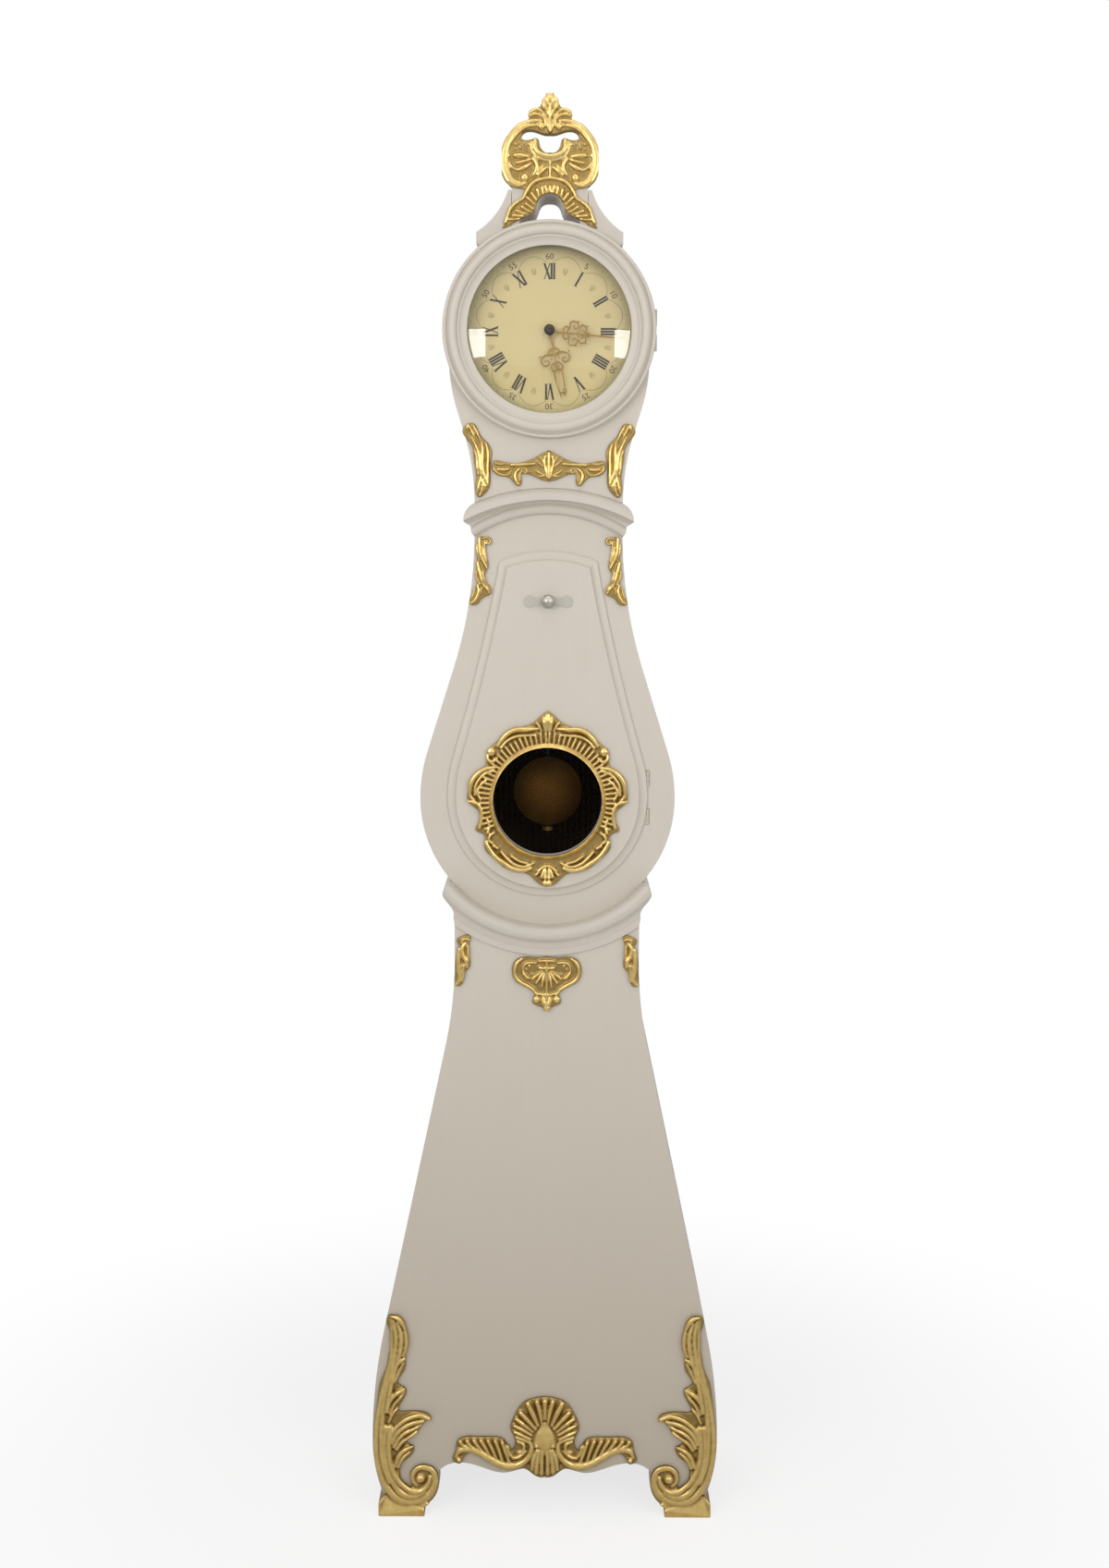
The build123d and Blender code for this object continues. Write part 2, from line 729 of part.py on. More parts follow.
# The upper collar carries the hood on its arched top. Its big moulding is turned about one
# centre and its small lower one about a higher centre, and both return along the sides.
with BuildPart() as upper_collar:
    turned(upper_collar_z, upper_ovolo_profile)
    rod(0, upper_bead_z, waist_front - 2 * upper_collar_proud, waist_front, upper_bead_low_r, Mode.SUBTRACT)
    turned(upper_bead_z, upper_bead_profile)
    blank_low_z = upper_end[-1][1] - 20
    box_between(-upper_collar_r, upper_collar_r, waist_front, back_y, blank_low_z, collar_top_z)
    with BuildSketch(facing(back_y)):
        with BuildLine():
            corner_z = upper_collar_z + sqrt(upper_collar_r**2 - hood_neck_half**2)
            ThreePointArc((hood_neck_half, corner_z), upper_end[0], upper_end[1])
            Polyline(*upper_end[1:], (waist_neck_half, blank_low_z), (0, blank_low_z))
            mirror(about=Plane.YZ)
            ThreePointArc((hood_neck_half, corner_z), (0, collar_top_z), (-hood_neck_half, corner_z))
        make_face()
    extrude(amount=waist_depth + upper_collar_proud, mode=Mode.INTERSECT)
    with BuildSketch(facing(back_y)):
        waist_face(0, base_side_top_z)
    extrude(amount=waist_depth, mode=Mode.SUBTRACT)
    inner_top_z = collar_top_z + upper_collar_proud
    box_between(-seat_half, seat_half, frame_back, back_y, blank_low_z, inner_top_z, Mode.SUBTRACT)
upper_collar.part.label = "upper_collar"
export_step(upper_collar.part, "parts/upper_collar.step")

# ---------------------------------------------------------------- waist door
with BuildPart() as waist_door:
    with BuildSketch(facing(door_back)):
        door_face()
    extrude(amount=door_lip_edge)
    for step in range(cove_steps):
        for turn in (radians(90 * step / cove_steps), radians(90 * (step + 1) / cove_steps)):
            height = door_lip_t - (door_lip_t - door_lip_edge) * cos(turn)
            with BuildSketch(facing(door_back - height)):
                door_face()
                if turn > 0:
                    offset(amount=-door_cove * sin(turn), mode=Mode.REPLACE)
        loft(ruled=True)
    with BuildSketch(facing(plug_back)):
        door_face()
        offset(amount=-door_lip, mode=Mode.REPLACE)
    extrude(amount=door_plug_t)
    rod(0, window_z, door_front - 1, plug_back, window_r, Mode.SUBTRACT)
    rod(0, window_z, plug_back - window_seat, plug_back, window_r + window_rebate, Mode.SUBTRACT)
    rod(0, knob_z, door_front - 1, plug_back, knob_shaft_r + shaft_fit, Mode.SUBTRACT)
    for z in door_hinges:
        hinge_recess(door_hinge_x, door_hinge_y, z, behind=False)
waist_door.part.label = "waist_door"
export_step(waist_door.part, "parts/waist_door.step")

with BuildPart() as door_window_glass:
    glass_front = plug_back - window_seat
    glass_r = window_r + window_rebate - window_glass_gap
    rod(0, window_z, glass_front, glass_front + window_glass_t, glass_r)
door_window_glass.part.label = "door_window_glass"
export_step(door_window_glass.part, "parts/door_window_glass.step")

with BuildPart() as door_hinge_case_leaves:
    for z in door_hinges:
        fixed_leaf(door_hinge_x, door_hinge_y, z)
door_hinge_case_leaves.part.label = "door_hinge_case_leaves"
export_step(door_hinge_case_leaves.part, "parts/door_hinge_case_leaves.step")

with BuildPart() as door_hinge_door_leaves:
    for z in door_hinges:
        moving_leaf(door_hinge_x, door_hinge_y, z)
door_hinge_door_leaves.part.label = "door_hinge_door_leaves"
export_step(door_hinge_door_leaves.part, "parts/door_hinge_door_leaves.step")

with BuildPart() as knob_backplate:
    with BuildSketch(facing(door_front)):
        with Locations((0, knob_z)):
            Circle(plate_rise)
            Rectangle(2 * (plate_half - plate_lobe_r), 1.3 * plate_lobe_r)
        with Locations((plate_half - plate_lobe_r, knob_z), (plate_lobe_r - plate_half, knob_z)):
            Circle(plate_lobe_r)
        with Locations((0, knob_z)):
            Circle(knob_shaft_r + shaft_fit, mode=Mode.SUBTRACT)
    extrude(amount=plate_t)
knob_backplate.part.label = "knob_backplate"
export_step(knob_backplate.part, "parts/knob_backplate.step")


def knob_profile():
    back = door_front - plate_t - latch_gap
    front = back - knob_len
    Polyline((0, back), (knob_r * 0.7, back), (knob_neck_r, back - 4), (knob_neck_r, back - 7))
    ThreePointArc((knob_neck_r, back - 7), (knob_r - 1.2, back - 9.5), (knob_r, back - 13))
    cap(front, knob_r, back - 13 - front)
    Line((0, front), (0, back))


with BuildPart() as door_knob:
    rod(0, knob_z, door_front - plate_t - latch_gap, latch_y + latch_t + 2, knob_shaft_r)
    turned(knob_z, knob_profile)
door_knob.part.label = "door_knob"
export_step(door_knob.part, "parts/door_knob.step")

with BuildPart() as latch_bar:
    with BuildSketch(facing(latch_y + latch_t)):
        with Locations((0, knob_z)):
            Circle(latch_w / 2 + 2)
        with Locations((0, knob_z - (latch_reach - latch_w / 2) / 2)):
            Rectangle(latch_w, latch_reach - latch_w / 2)
        with Locations((0, knob_z - latch_reach + latch_w / 2)):
            Circle(latch_w / 2)
        with Locations((0, knob_z)):
            Circle(knob_shaft_r, mode=Mode.SUBTRACT)
    extrude(amount=latch_t)
latch_bar.part.label = "latch_bar"
export_step(latch_bar.part, "parts/latch_bar.step")

# ---------------------------------------------------------------- gilt carvings, left side given
leg_line = [
    (-265, 329), (-263, 359), (-250, 354), (-239, 338), (-235, 312), (-240, 292), (-241, 261),
    (-252, 236), (-240, 228), (-243, 209), (-252, 188), (-224, 187), (-198, 177), (-209, 164),
    (-222, 146), (-237, 129), (-227, 123), (-231, 106), (-246, 92), (-250, 74), (-243, 55),
    (-229, 46), (-232, 62), (-230, 79), (-219, 88), (-201, 89), (-187, 79), (-183, 62),
    (-185, 44), (-192, 30), (-206, 16), (-225, 10), (-255, 22), (-272, 37), (-283, 57),
    (-291, 84), (-296, 133), (-293, 170), (-288, 207), (-282, 241), (-271, 270), (-266, 295),
]
rosette_line = [
    (0, 1395), (-10, 1388), (-22, 1377), (-44, 1368), (-64, 1359), (-83, 1345), (-95, 1334),
    (-101, 1318), (-103, 1304), (-120, 1288), (-131, 1266), (-131, 1243), (-113, 1226),
    (-112, 1213), (-119, 1196), (-105, 1188), (-105, 1170), (-90, 1149), (-63, 1129),
    (-30, 1121), (-16, 1108), (0, 1102),
]
hood_leaf_line = [
    (-135, 1859), (-122, 1862), (-110, 1842), (-101, 1833), (-93, 1818), (-95, 1796),
    (-97, 1760), (-105, 1749), (-114, 1744), (-119, 1754), (-118, 1778), (-122, 1806),
    (-126, 1828),
]
garland_line = [
    (0, 1820), (-12, 1814), (-27, 1806), (-46, 1800), (-68, 1800), (-91, 1801), (-92, 1790),
    (-82, 1779), (-66, 1776), (-57, 1768), (-49, 1762), (-44, 1770), (-46, 1782), (-36, 1782),
    (-20, 1776), (0, 1770),
]
base_drop_line = [
    (-145, 1017), (-128, 1018), (-130, 1004), (-129, 984), (-130, 964), (-136, 957),
    (-139, 942), (-148, 933), (-153, 941), (-153, 960), (-152, 982), (-147, 1003),
]
cartouche_line = [
    (0, 985), (-18, 983), (-34, 984), (-51, 979), (-58, 964), (-53, 943), (-32, 930),
    (-21, 918), (-24, 907), (-12, 899), (0, 892),
]
waist_leaf_line = [
    (-115, 1678), (-117, 1650), (-118, 1622), (-121, 1592), (-129, 1570), (-119, 1569),
    (-107, 1581), (-95, 1587), (-96, 1600), (-103, 1606), (-103, 1622), (-99, 1630),
    (-101, 1646), (-106, 1661), (-104, 1668), (-94, 1671), (-95, 1678), (-104, 1680),
]
apron_line = [
    (0, 214), (-14, 212), (-38, 202), (-51, 182), (-59, 155), (-51, 130), (-58, 116),
    (-68, 133), (-84, 141), (-112, 141), (-140, 140), (-150, 134), (-155, 112), (-159, 99),
    (-146, 92), (-138, 105), (-123, 112), (-102, 104), (-78, 89), (-55, 84), (-32, 82),
    (-17, 71), (0, 68),
]
crest_line = [
    (0, 2380), (-8, 2371), (-16, 2360), (-33, 2349), (-35, 2339), (-47, 2335), (-62, 2319),
    (-72, 2302), (-77, 2280), (-75, 2259), (-68, 2243), (-60, 2235), (-46, 2232), (-32, 2228),
    (0, 2228),
]
crest_hole = [
    (0, 2317), (-15, 2319), (-29, 2323), (-44, 2318), (-46, 2311), (-35, 2308), (-19, 2309),
    (-16, 2299), (-11, 2291), (0, 2289),
]
crest_band = [
    (0, 2256), (-15, 2252), (-27, 2243), (-37, 2231), (-43, 2216), (-61, 2208), (-69, 2191),
    (-77, 2170),
]
crest_band_inner = [
    (-66, 2174), (-43, 2186), (-24, 2199), (-19, 2213), (-11, 2222), (0, 2225),
]

for side, sign in (("left", -1), ("right", 1)):
    with BuildPart() as leg_acanthus:
        carving(leg_line, base_front, leg_carving_t, sign)
        with BuildSketch(facing(toe_back_y)):
            with BuildLine():
                Polyline(
                    (sign * toe_outer[0], 0),
                    (sign * toe_outer[0], toe_outer[1]),
                    (sign * toe_high_x, ankle_z),
                    (sign * toe_inner[0], toe_inner[1]),
                    (sign * toe_inner[0], 0),
                    close=True,
                )
            make_face()
        extrude(amount=toe_back_y - base_front + toe_proud)
    leg_acanthus.part.label = f"leg_acanthus_{side}"
    export_step(leg_acanthus.part, f"parts/leg_acanthus_{side}.step")

    with BuildPart() as base_drop:
        carving(base_drop_line, base_front, carving_t, sign)
    base_drop.part.label = f"base_drop_{side}"
    export_step(base_drop.part, f"parts/base_drop_{side}.step")

    with BuildPart() as waist_leaf:
        carving(waist_leaf_line, waist_front, carving_t, sign)
    waist_leaf.part.label = f"waist_leaf_{side}"
    export_step(waist_leaf.part, f"parts/waist_leaf_{side}.step")

    with BuildPart() as hood_leaf:
        carving(hood_leaf_line, hood_front, carving_t, sign)
    hood_leaf.part.label = f"hood_leaf_{side}"
    export_step(hood_leaf.part, f"parts/hood_leaf_{side}.step")

with BuildPart() as apron_shell:
    half_carving(apron_line, base_front, leg_carving_t)
apron_shell.part.label = "apron_shell"
export_step(apron_shell.part, "parts/apron_shell.step")

with BuildPart() as base_cartouche:
    half_carving(cartouche_line, base_front, carving_t)
base_cartouche.part.label = "base_cartouche"
export_step(base_cartouche.part, "parts/base_cartouche.step")

with BuildPart() as hood_garland:
    half_carving(garland_line, hood_front, carving_t)
hood_garland.part.label = "hood_garland"
export_step(hood_garland.part, "parts/hood_garland.step")

with BuildPart() as door_rosette:
    lip_front = door_front - rosette_lip_t
    half_carving(rosette_line, door_front, carving_t)
    rod(0, window_z, lip_front, door_front, window_r + rosette_lip_w)
    rod(0, window_z, lip_front, door_front, window_r, Mode.SUBTRACT)
door_rosette.part.label = "door_rosette"
export_step(door_rosette.part, "parts/door_rosette.step")

# ---------------------------------------------------------------- hood
with BuildPart() as hood_front_board:
    with BuildSketch(facing(hood_board_back)):
        hood_face(0)
        with Locations((0, dial_z)):
            Circle(hood_opening_r, mode=Mode.SUBTRACT)
    extrude(amount=hood_board_t)
    hood_seat(hood_front, hood_board_back)
    for z in bezel_hinges:
        hinge_recess(bezel_hinge_x, bezel_hinge_y, z, behind=True)
hood_front_board.part.label = "hood_front_board"
export_step(hood_front_board.part, "parts/hood_front_board.step")

with BuildPart() as hood_shell:
    with BuildSketch(facing(back_y)):
        hood_face(shell_inset)
        hood_face(shell_inset + shell_t, Mode.SUBTRACT)
    extrude(amount=back_y - hood_board_back)
    hood_seat(hood_board_back, back_y)
hood_shell.part.label = "hood_shell"
export_step(hood_shell.part, "parts/hood_shell.step")


def rest_on_hood():
    """Hollows the underside of a pediment block to the hood board and the shell."""
    rod(0, dial_z, hood_front, hood_board_back, hood_r, Mode.SUBTRACT)
    rod(0, dial_z, hood_board_back, pediment_back, hood_r - shell_inset, Mode.SUBTRACT)


with BuildPart() as crest_plinth:
    with BuildSketch(facing(pediment_back)):
        with Locations((0, (dial_z + plinth_top_z) / 2)):
            Rectangle(2 * plinth_half, plinth_top_z - dial_z)
        with BuildLine():
            Polyline((0, dial_z), (tunnel[0][0], dial_z), tunnel[0])
            Spline(*tunnel)
            mirror(about=Plane.YZ)
        make_face(mode=Mode.SUBTRACT)
    extrude(amount=pediment_depth)
    rest_on_hood()
crest_plinth.part.label = "crest_plinth"
export_step(crest_plinth.part, "parts/crest_plinth.step")

for side, sign in (("left", -1), ("right", 1)):
    with BuildPart() as shoulder:
        inner_x = plinth_half + plinth_gap
        toe_z = dial_z + sqrt(hood_r**2 - shoulder_toe_x**2)
        with BuildSketch(facing(pediment_back)):
            with BuildLine():
                top = (sign * shoulder_top[0], shoulder_top[1])
                end = (sign * shoulder_end[0], shoulder_end[1])
                Spline(top, (sign * shoulder_mid[0], shoulder_mid[1]), end)
                Polyline(
                    end,
                    (sign * shoulder_end[0], shoulder_block_z),
                    (sign * shoulder_toe_x, toe_z),
                    (sign * shoulder_toe_x, dial_z + 90),
                    (sign * inner_x, dial_z + 90),
                    (sign * inner_x, shoulder_top[1]),
                    top,
                )
            make_face()
        extrude(amount=pediment_depth)
        rest_on_hood()
    shoulder.part.label = f"pediment_shoulder_{side}"
    export_step(shoulder.part, f"parts/pediment_shoulder_{side}.step")

with BuildPart() as crest:
    crest_front = hood_front - crest_proud
    with BuildSketch(facing(crest_front + crest_t)):
        with BuildLine():
            Spline(*crest_line)
            mirror(about=Plane.YZ)
        make_face()
        with BuildLine():
            Spline(*crest_hole)
            mirror(about=Plane.YZ)
        make_face(mode=Mode.SUBTRACT)
        with BuildLine():
            Spline(*crest_band)
            Line(crest_band[-1], crest_band_inner[0])
            Spline(*crest_band_inner)
            mirror(about=Plane.YZ)
        make_face()
    extrude(amount=crest_t)
    box_between(-120, 120, hood_front, 0, 2100, plinth_top_z, Mode.SUBTRACT)
crest.part.label = "crest"
export_step(crest.part, "parts/crest.step")


# ---------------------------------------------------------------- glazed bezel
def bezel_profile():
    lip = bezel_back - bezel_lip_t
    step = bezel_back - bezel_step_t
    groove = (bezel_groove_r, bezel_back - bezel_groove_t)
    rim = (bezel_r, bezel_back - bezel_rim_t)
    bulge_in, bulge_mid, bulge_out = bezel_bulge_r
    ThreePointArc((bezel_glass_r, lip), (bezel_glass_r + 7.5, lip - 1.2), (bezel_step_r, step + 1.5))
    Polyline((bezel_step_r, step + 1.5), (bezel_step_r, step), (bulge_in, step))
    ThreePointArc((bulge_in, step), (bulge_mid, bezel_back - bezel_bulge_t), (bulge_out, step))
    Line((bulge_out, step), groove)
    ThreePointArc(groove, (bezel_bead_r, bezel_back - bezel_bead_t), rim)
    Polyline(
        rim,
        (bezel_r, bezel_back),
        (bezel_glass_r + glass_rebate, bezel_back),
        (bezel_glass_r + glass_rebate, bezel_back - glass_seat),
        (bezel_glass_r, bezel_back - glass_seat),
        (bezel_glass_r, lip),
    )


def glass_profile():
    rim_r = bezel_glass_r + glass_rebate - glass_gap
    dome_r = bezel_glass_r - 2.5
    front = bezel_back - glass_seat
    back = front + glass_t
    Polyline((dome_r, front), (rim_r, front), (rim_r, back), (dome_r, back))
    cap(back - glass_rise, dome_r, glass_rise)
    Line((0, back - glass_rise), (0, front - glass_rise))
    cap(front - glass_rise, dome_r, glass_rise)


with BuildPart() as bezel_ring:
    turned(dial_z, bezel_profile)
    for z in bezel_hinges:
        hinge_recess(bezel_hinge_x, bezel_hinge_y, z, behind=False)
bezel_ring.part.label = "bezel_ring"
export_step(bezel_ring.part, "parts/bezel_ring.step")

with BuildPart() as bezel_glass:
    turned(dial_z, glass_profile)
bezel_glass.part.label = "bezel_glass"
export_step(bezel_glass.part, "parts/bezel_glass.step")

with BuildPart() as bezel_hinge_hood_leaves:
    for z in bezel_hinges:
        fixed_leaf(bezel_hinge_x, bezel_hinge_y, z)
bezel_hinge_hood_leaves.part.label = "bezel_hinge_hood_leaves"
export_step(bezel_hinge_hood_leaves.part, "parts/bezel_hinge_hood_leaves.step")

with BuildPart() as bezel_hinge_door_leaves:
    for z in bezel_hinges:
        moving_leaf(bezel_hinge_x, bezel_hinge_y, z)
bezel_hinge_door_leaves.part.label = "bezel_hinge_door_leaves"
export_step(bezel_hinge_door_leaves.part, "parts/bezel_hinge_door_leaves.step")

# ---------------------------------------------------------------- movement frame
with BuildPart() as seatboard:
    box_between(-seat_half, seat_half, seat_front_y, seat_back_y, seat_z - seat_t, seat_z)
    with Locations((-sheave_r, rope_y, seat_z - seat_t / 2), (sheave_r, rope_y, seat_z - seat_t / 2)):
        Cylinder(seat_slot_r, seat_t, mode=Mode.SUBTRACT)
seatboard.part.label = "seatboard"
export_step(seatboard.part, "parts/seatboard.step")

plate_top_z = seat_z + plate_h
minute_x = motion_dist * cos(radians(motion_deg))
minute_at = (minute_x, dial_z + motion_dist * sin(radians(motion_deg)))
with BuildPart() as movement_front_plate:
    plate_back = front_plate_y + brass_t
    box_between(-plate_w / 2, plate_w / 2, front_plate_y, plate_back, seat_z, plate_top_z)
    for x, z in (great_at, centre_at, third_at, escape_at, anchor_at):
        rod(x, z, front_plate_y, plate_back, arbor_r + pivot_fit, Mode.SUBTRACT)
    rod(*minute_at, hour_wheel_y - 5, front_plate_y, arbor_r)
movement_front_plate.part.label = "movement_front_plate"
export_step(movement_front_plate.part, "parts/movement_front_plate.step")

with BuildPart() as movement_back_plate:
    plate_back = back_plate_y + brass_t
    box_between(-plate_w / 2, plate_w / 2, back_plate_y, plate_back, seat_z, plate_top_z)
    pillar_x = plate_w / 2 - pillar_in
    for x in (-pillar_x, pillar_x):
        for z in (seat_z + pillar_in, plate_top_z - pillar_in):
            rod(x, z, front_plate_y + brass_t, back_plate_y, pillar_r)
    for x, z in (great_at, centre_at, third_at, escape_at):
        rod(x, z, back_plate_y, plate_back, arbor_r + pivot_fit, Mode.SUBTRACT)
    rod(*anchor_at, back_plate_y, plate_back, arbor_r + 3, Mode.SUBTRACT)
movement_back_plate.part.label = "movement_back_plate"
export_step(movement_back_plate.part, "parts/movement_back_plate.step")

with BuildPart() as back_cock:
    cock_back = cock_y + cock_t
    stud_back = cock_back + stud_len
    anchor_z = anchor_at[1]
    box_between(-22, 22, cock_y, cock_back, anchor_z - 7, anchor_z + 9)
    for x in (-17, 17):
        rod(x, anchor_z + 3, back_plate_y + brass_t, cock_y, 3.5)
    rod(0, anchor_z, cock_y, cock_y + 3.2, arbor_r + pivot_fit, Mode.SUBTRACT)
    rod(0, anchor_z, cock_back, stud_back, arbor_r)
    rod(0, anchor_z, stud_back - 2, stud_back, arbor_r + 1.5)
back_cock.part.label = "back_cock"
export_step(back_cock.part, "parts/back_cock.step")

with BuildPart() as dial_plate:
    dial_back = dial_y + dial_t
    rod(0, dial_z, dial_y, dial_back, dial_r)
    rod(0, dial_z, dial_y, dial_back, dial_hole_r, Mode.SUBTRACT)
    for x, z in ((1, 0), (0, 1), (-1, 0), (0, -1)):
        foot_z = dial_z + z * dial_foot_at
        rod(x * dial_foot_at, foot_z, dial_back, front_plate_y, dial_foot_r)
dial_plate.part.label = "dial_plate"
export_step(dial_plate.part, "parts/dial_plate.step")

# ---------------------------------------------------------------- going train
with BuildPart() as great_wheel:
    great_back = great_wheel_y + brass_t
    great_phase = gap_toward(great_teeth, 90)
    spur(great_at, great_wheel_y, great_back, great_teeth, great_m, great_phase)
    crossings(great_at, great_wheel_y, great_back, 27, 9)
    rod(*great_at, great_back, sheave_front_y, 12)
    rod(*great_at, sheave_front_y, sheave_back_y, sheave_r - rope_r - rope_gap)
    rod(*great_at, sheave_front_y, sheave_front_y + sheave_flange_t, sheave_flange_r)
    rod(*great_at, sheave_back_y - sheave_flange_t, sheave_back_y, sheave_flange_r)
    rod(*great_at, arbor_front, arbor_back, arbor_r)
great_wheel.part.label = "great_wheel"
export_step(great_wheel.part, "parts/great_wheel.step")

with BuildPart() as centre_wheel:
    centre_back = centre_wheel_y + wheel_t
    spur(centre_at, centre_wheel_y, centre_back, centre_teeth, centre_m, third_deg)
    crossings(centre_at, centre_wheel_y, centre_back, 27.5, 6)
    spur(centre_at, *centre_pinion_y, centre_pinion_teeth, great_m, -90)
    rod(*centre_at, minute_hand_y - hand_t - 2, arbor_back, arbor_r)
centre_wheel.part.label = "centre_wheel"
export_step(centre_wheel.part, "parts/centre_wheel.step")

with BuildPart() as third_wheel:
    third_back = third_wheel_y + wheel_t
    third_phase = gap_toward(third_pinion_teeth, third_deg + 180)
    spur(third_at, third_wheel_y, third_back, third_teeth, third_m, escape_deg)
    crossings(third_at, third_wheel_y, third_back, 24, 6)
    spur(third_at, *third_pinion_y, third_pinion_teeth, centre_m, third_phase)
    rod(*third_at, arbor_front, arbor_back, arbor_r)
third_wheel.part.label = "third_wheel"
export_step(third_wheel.part, "parts/third_wheel.step")

with BuildPart() as escape_wheel:
    escape_back = escape_wheel_y + wheel_t
    escape_phase = gap_toward(escape_pinion_teeth, escape_deg + 180)
    with BuildSketch(facing(escape_back)):
        with BuildLine():
            hooks = []
            for tooth in range(escape_teeth):
                turn = tooth * 2 * pi / escape_teeth
                for radius, lead in ((escape_root_r, 0), (escape_r, 0.03), (escape_r, 0.06)):
                    angle = turn + lead
                    hooks.append((radius * cos(angle), escape_at[1] + radius * sin(angle)))
            Polyline(*hooks, hooks[0])
        make_face()
    extrude(amount=wheel_t)
    crossings(escape_at, escape_wheel_y, escape_back, 13.5, 5)
    spur(escape_at, *escape_pinion_y, escape_pinion_teeth, third_m, escape_phase)
    rod(*escape_at, arbor_front, arbor_back, arbor_r)
escape_wheel.part.label = "escape_wheel"
export_step(escape_wheel.part, "parts/escape_wheel.step")

pallet_line = [(0, 5), (5, 4), (17, -6), (19, -13), (15.6, -12.4), (13.5, -7.5), (4, -3), (0, -4.4)]
with BuildPart() as anchor_and_crutch:
    with BuildSketch(facing(escape_wheel_y + 3)):
        with BuildLine():
            Polyline(*[(x, anchor_at[1] + z) for x, z in pallet_line])
            mirror(about=Plane.YZ)
        make_face()
    extrude(amount=4)
    rod(*anchor_at, arbor_front, cock_y + 3, arbor_r)
    fork_z = anchor_at[1] - crutch_len
    fork_x = rod_w / 2 + crutch_gap
    with BuildSketch(facing(crutch_y + 2)):
        with Locations((0, (anchor_at[1] + fork_z) / 2)):
            Rectangle(4, crutch_len)
        with Locations(anchor_at):
            Circle(5)
        with Locations((0, fork_z)):
            Rectangle(14, 5)
    extrude(amount=2)
    for low, high in ((-7, -fork_x), (fork_x, 7)):
        box_between(low, high, crutch_y, pendulum_y + 4, fork_z - 2.5, fork_z + 2.5)
anchor_and_crutch.part.label = "anchor_and_crutch"
export_step(anchor_and_crutch.part, "parts/anchor_and_crutch.step")

# ---------------------------------------------------------------- motion work
cannon_m = 2 * motion_dist / (cannon_teeth + minute_teeth)
hour_m = 2 * motion_dist / (minute_pinion_teeth + hour_teeth)
motion_back = motion_y + wheel_t
hour_back = hour_wheel_y + wheel_t
hour_pipe_front = hour_hand_y - hand_t
with BuildPart() as cannon_pinion:
    spur(centre_at, motion_y, motion_back, cannon_teeth, cannon_m, motion_deg)
    rod(*centre_at, minute_hand_y, motion_back + 1, cannon_pipe_r)
    rod(*centre_at, minute_hand_y, motion_back + 1, arbor_r, Mode.SUBTRACT)
cannon_pinion.part.label = "cannon_pinion"
export_step(cannon_pinion.part, "parts/cannon_pinion.step")

with BuildPart() as minute_wheel:
    toward_centre = motion_deg - 180
    minute_phase = gap_toward(minute_teeth, toward_centre)
    spur(minute_at, motion_y, motion_back, minute_teeth, cannon_m, minute_phase)
    spur(minute_at, hour_wheel_y - 1, motion_y, minute_pinion_teeth, hour_m, toward_centre)
    rod(*minute_at, hour_wheel_y - 1, motion_back, arbor_r + pivot_fit, Mode.SUBTRACT)
minute_wheel.part.label = "minute_wheel"
export_step(minute_wheel.part, "parts/minute_wheel.step")

with BuildPart() as hour_wheel:
    hour_phase = gap_toward(hour_teeth, motion_deg)
    spur(centre_at, hour_wheel_y, hour_back, hour_teeth, hour_m, hour_phase)
    rod(*centre_at, hour_pipe_front, hour_back + 1, hour_pipe_r)
    rod(*centre_at, hour_pipe_front, hour_back + 1, cannon_pipe_r + pipe_fit, Mode.SUBTRACT)
hour_wheel.part.label = "hour_wheel"
export_step(hour_wheel.part, "parts/hour_wheel.step")


# ---------------------------------------------------------------- hands
def hand(back, degrees_on, length, loops, bore):
    """A pierced hand: a round boss, a thin tapered stem and open loops along it."""
    with BuildSketch(facing(back)) as section:
        with Locations(Location((0, dial_z, 0), (0, 0, -degrees_on))):
            Circle(boss_r - 1)
            Polygon((-1.8, 0), (1.8, 0), (0.6, length), (-0.6, length), align=None)
            for middle, width, height in loops:
                at = (0, middle * length)
                with Locations(at):
                    Ellipse(width, height)
                    Ellipse(width - 2.0, height - 2.0, mode=Mode.SUBTRACT)
                    Rectangle(1.2, 2 * height - 1)
            Circle(bore, mode=Mode.SUBTRACT)
    extrude(section.sketch, amount=hand_t)


with BuildPart() as hour_hand:
    hand(hour_hand_y, hour_deg, hour_len, ((0.42, 9.0, 13.0), (0.7, 6.5, 9.0)), hour_pipe_r)
hour_hand.part.label = "hour_hand"
export_step(hour_hand.part, "parts/hour_hand.step")

with BuildPart() as minute_hand:
    hand(minute_hand_y, minute_deg, minute_len, ((0.36, 8.0, 13.0), (0.58, 5.5, 9.0)), arbor_r)
minute_hand.part.label = "minute_hand"
export_step(minute_hand.part, "parts/minute_hand.step")


def nut_profile():
    back = minute_hand_y - hand_t
    front = back - boss_t
    Line((0, back), (boss_r, back))
    cap(front, boss_r, boss_t)
    Line((0, front), (0, back))


with BuildPart() as hand_nut:
    turned(dial_z, nut_profile)
    rod(*centre_at, minute_hand_y - hand_t - 2, minute_hand_y - hand_t, arbor_r, Mode.SUBTRACT)
hand_nut.part.label = "hand_nut"
export_step(hand_nut.part, "parts/hand_nut.step")

# ---------------------------------------------------------------- pendulum
rod_front = pendulum_y - rod_t / 2
rod_back = pendulum_y + rod_t / 2
with BuildPart() as pendulum_rod:
    box_between(-rod_w / 2, rod_w / 2, rod_front, rod_back, rod_end_z, anchor_at[1])
    rod(*anchor_at, rod_front, rod_back, eye_r)
    rod(*anchor_at, rod_front, rod_back, arbor_r + pivot_fit, Mode.SUBTRACT)
pendulum_rod.part.label = "pendulum_rod"
export_step(pendulum_rod.part, "parts/pendulum_rod.step")


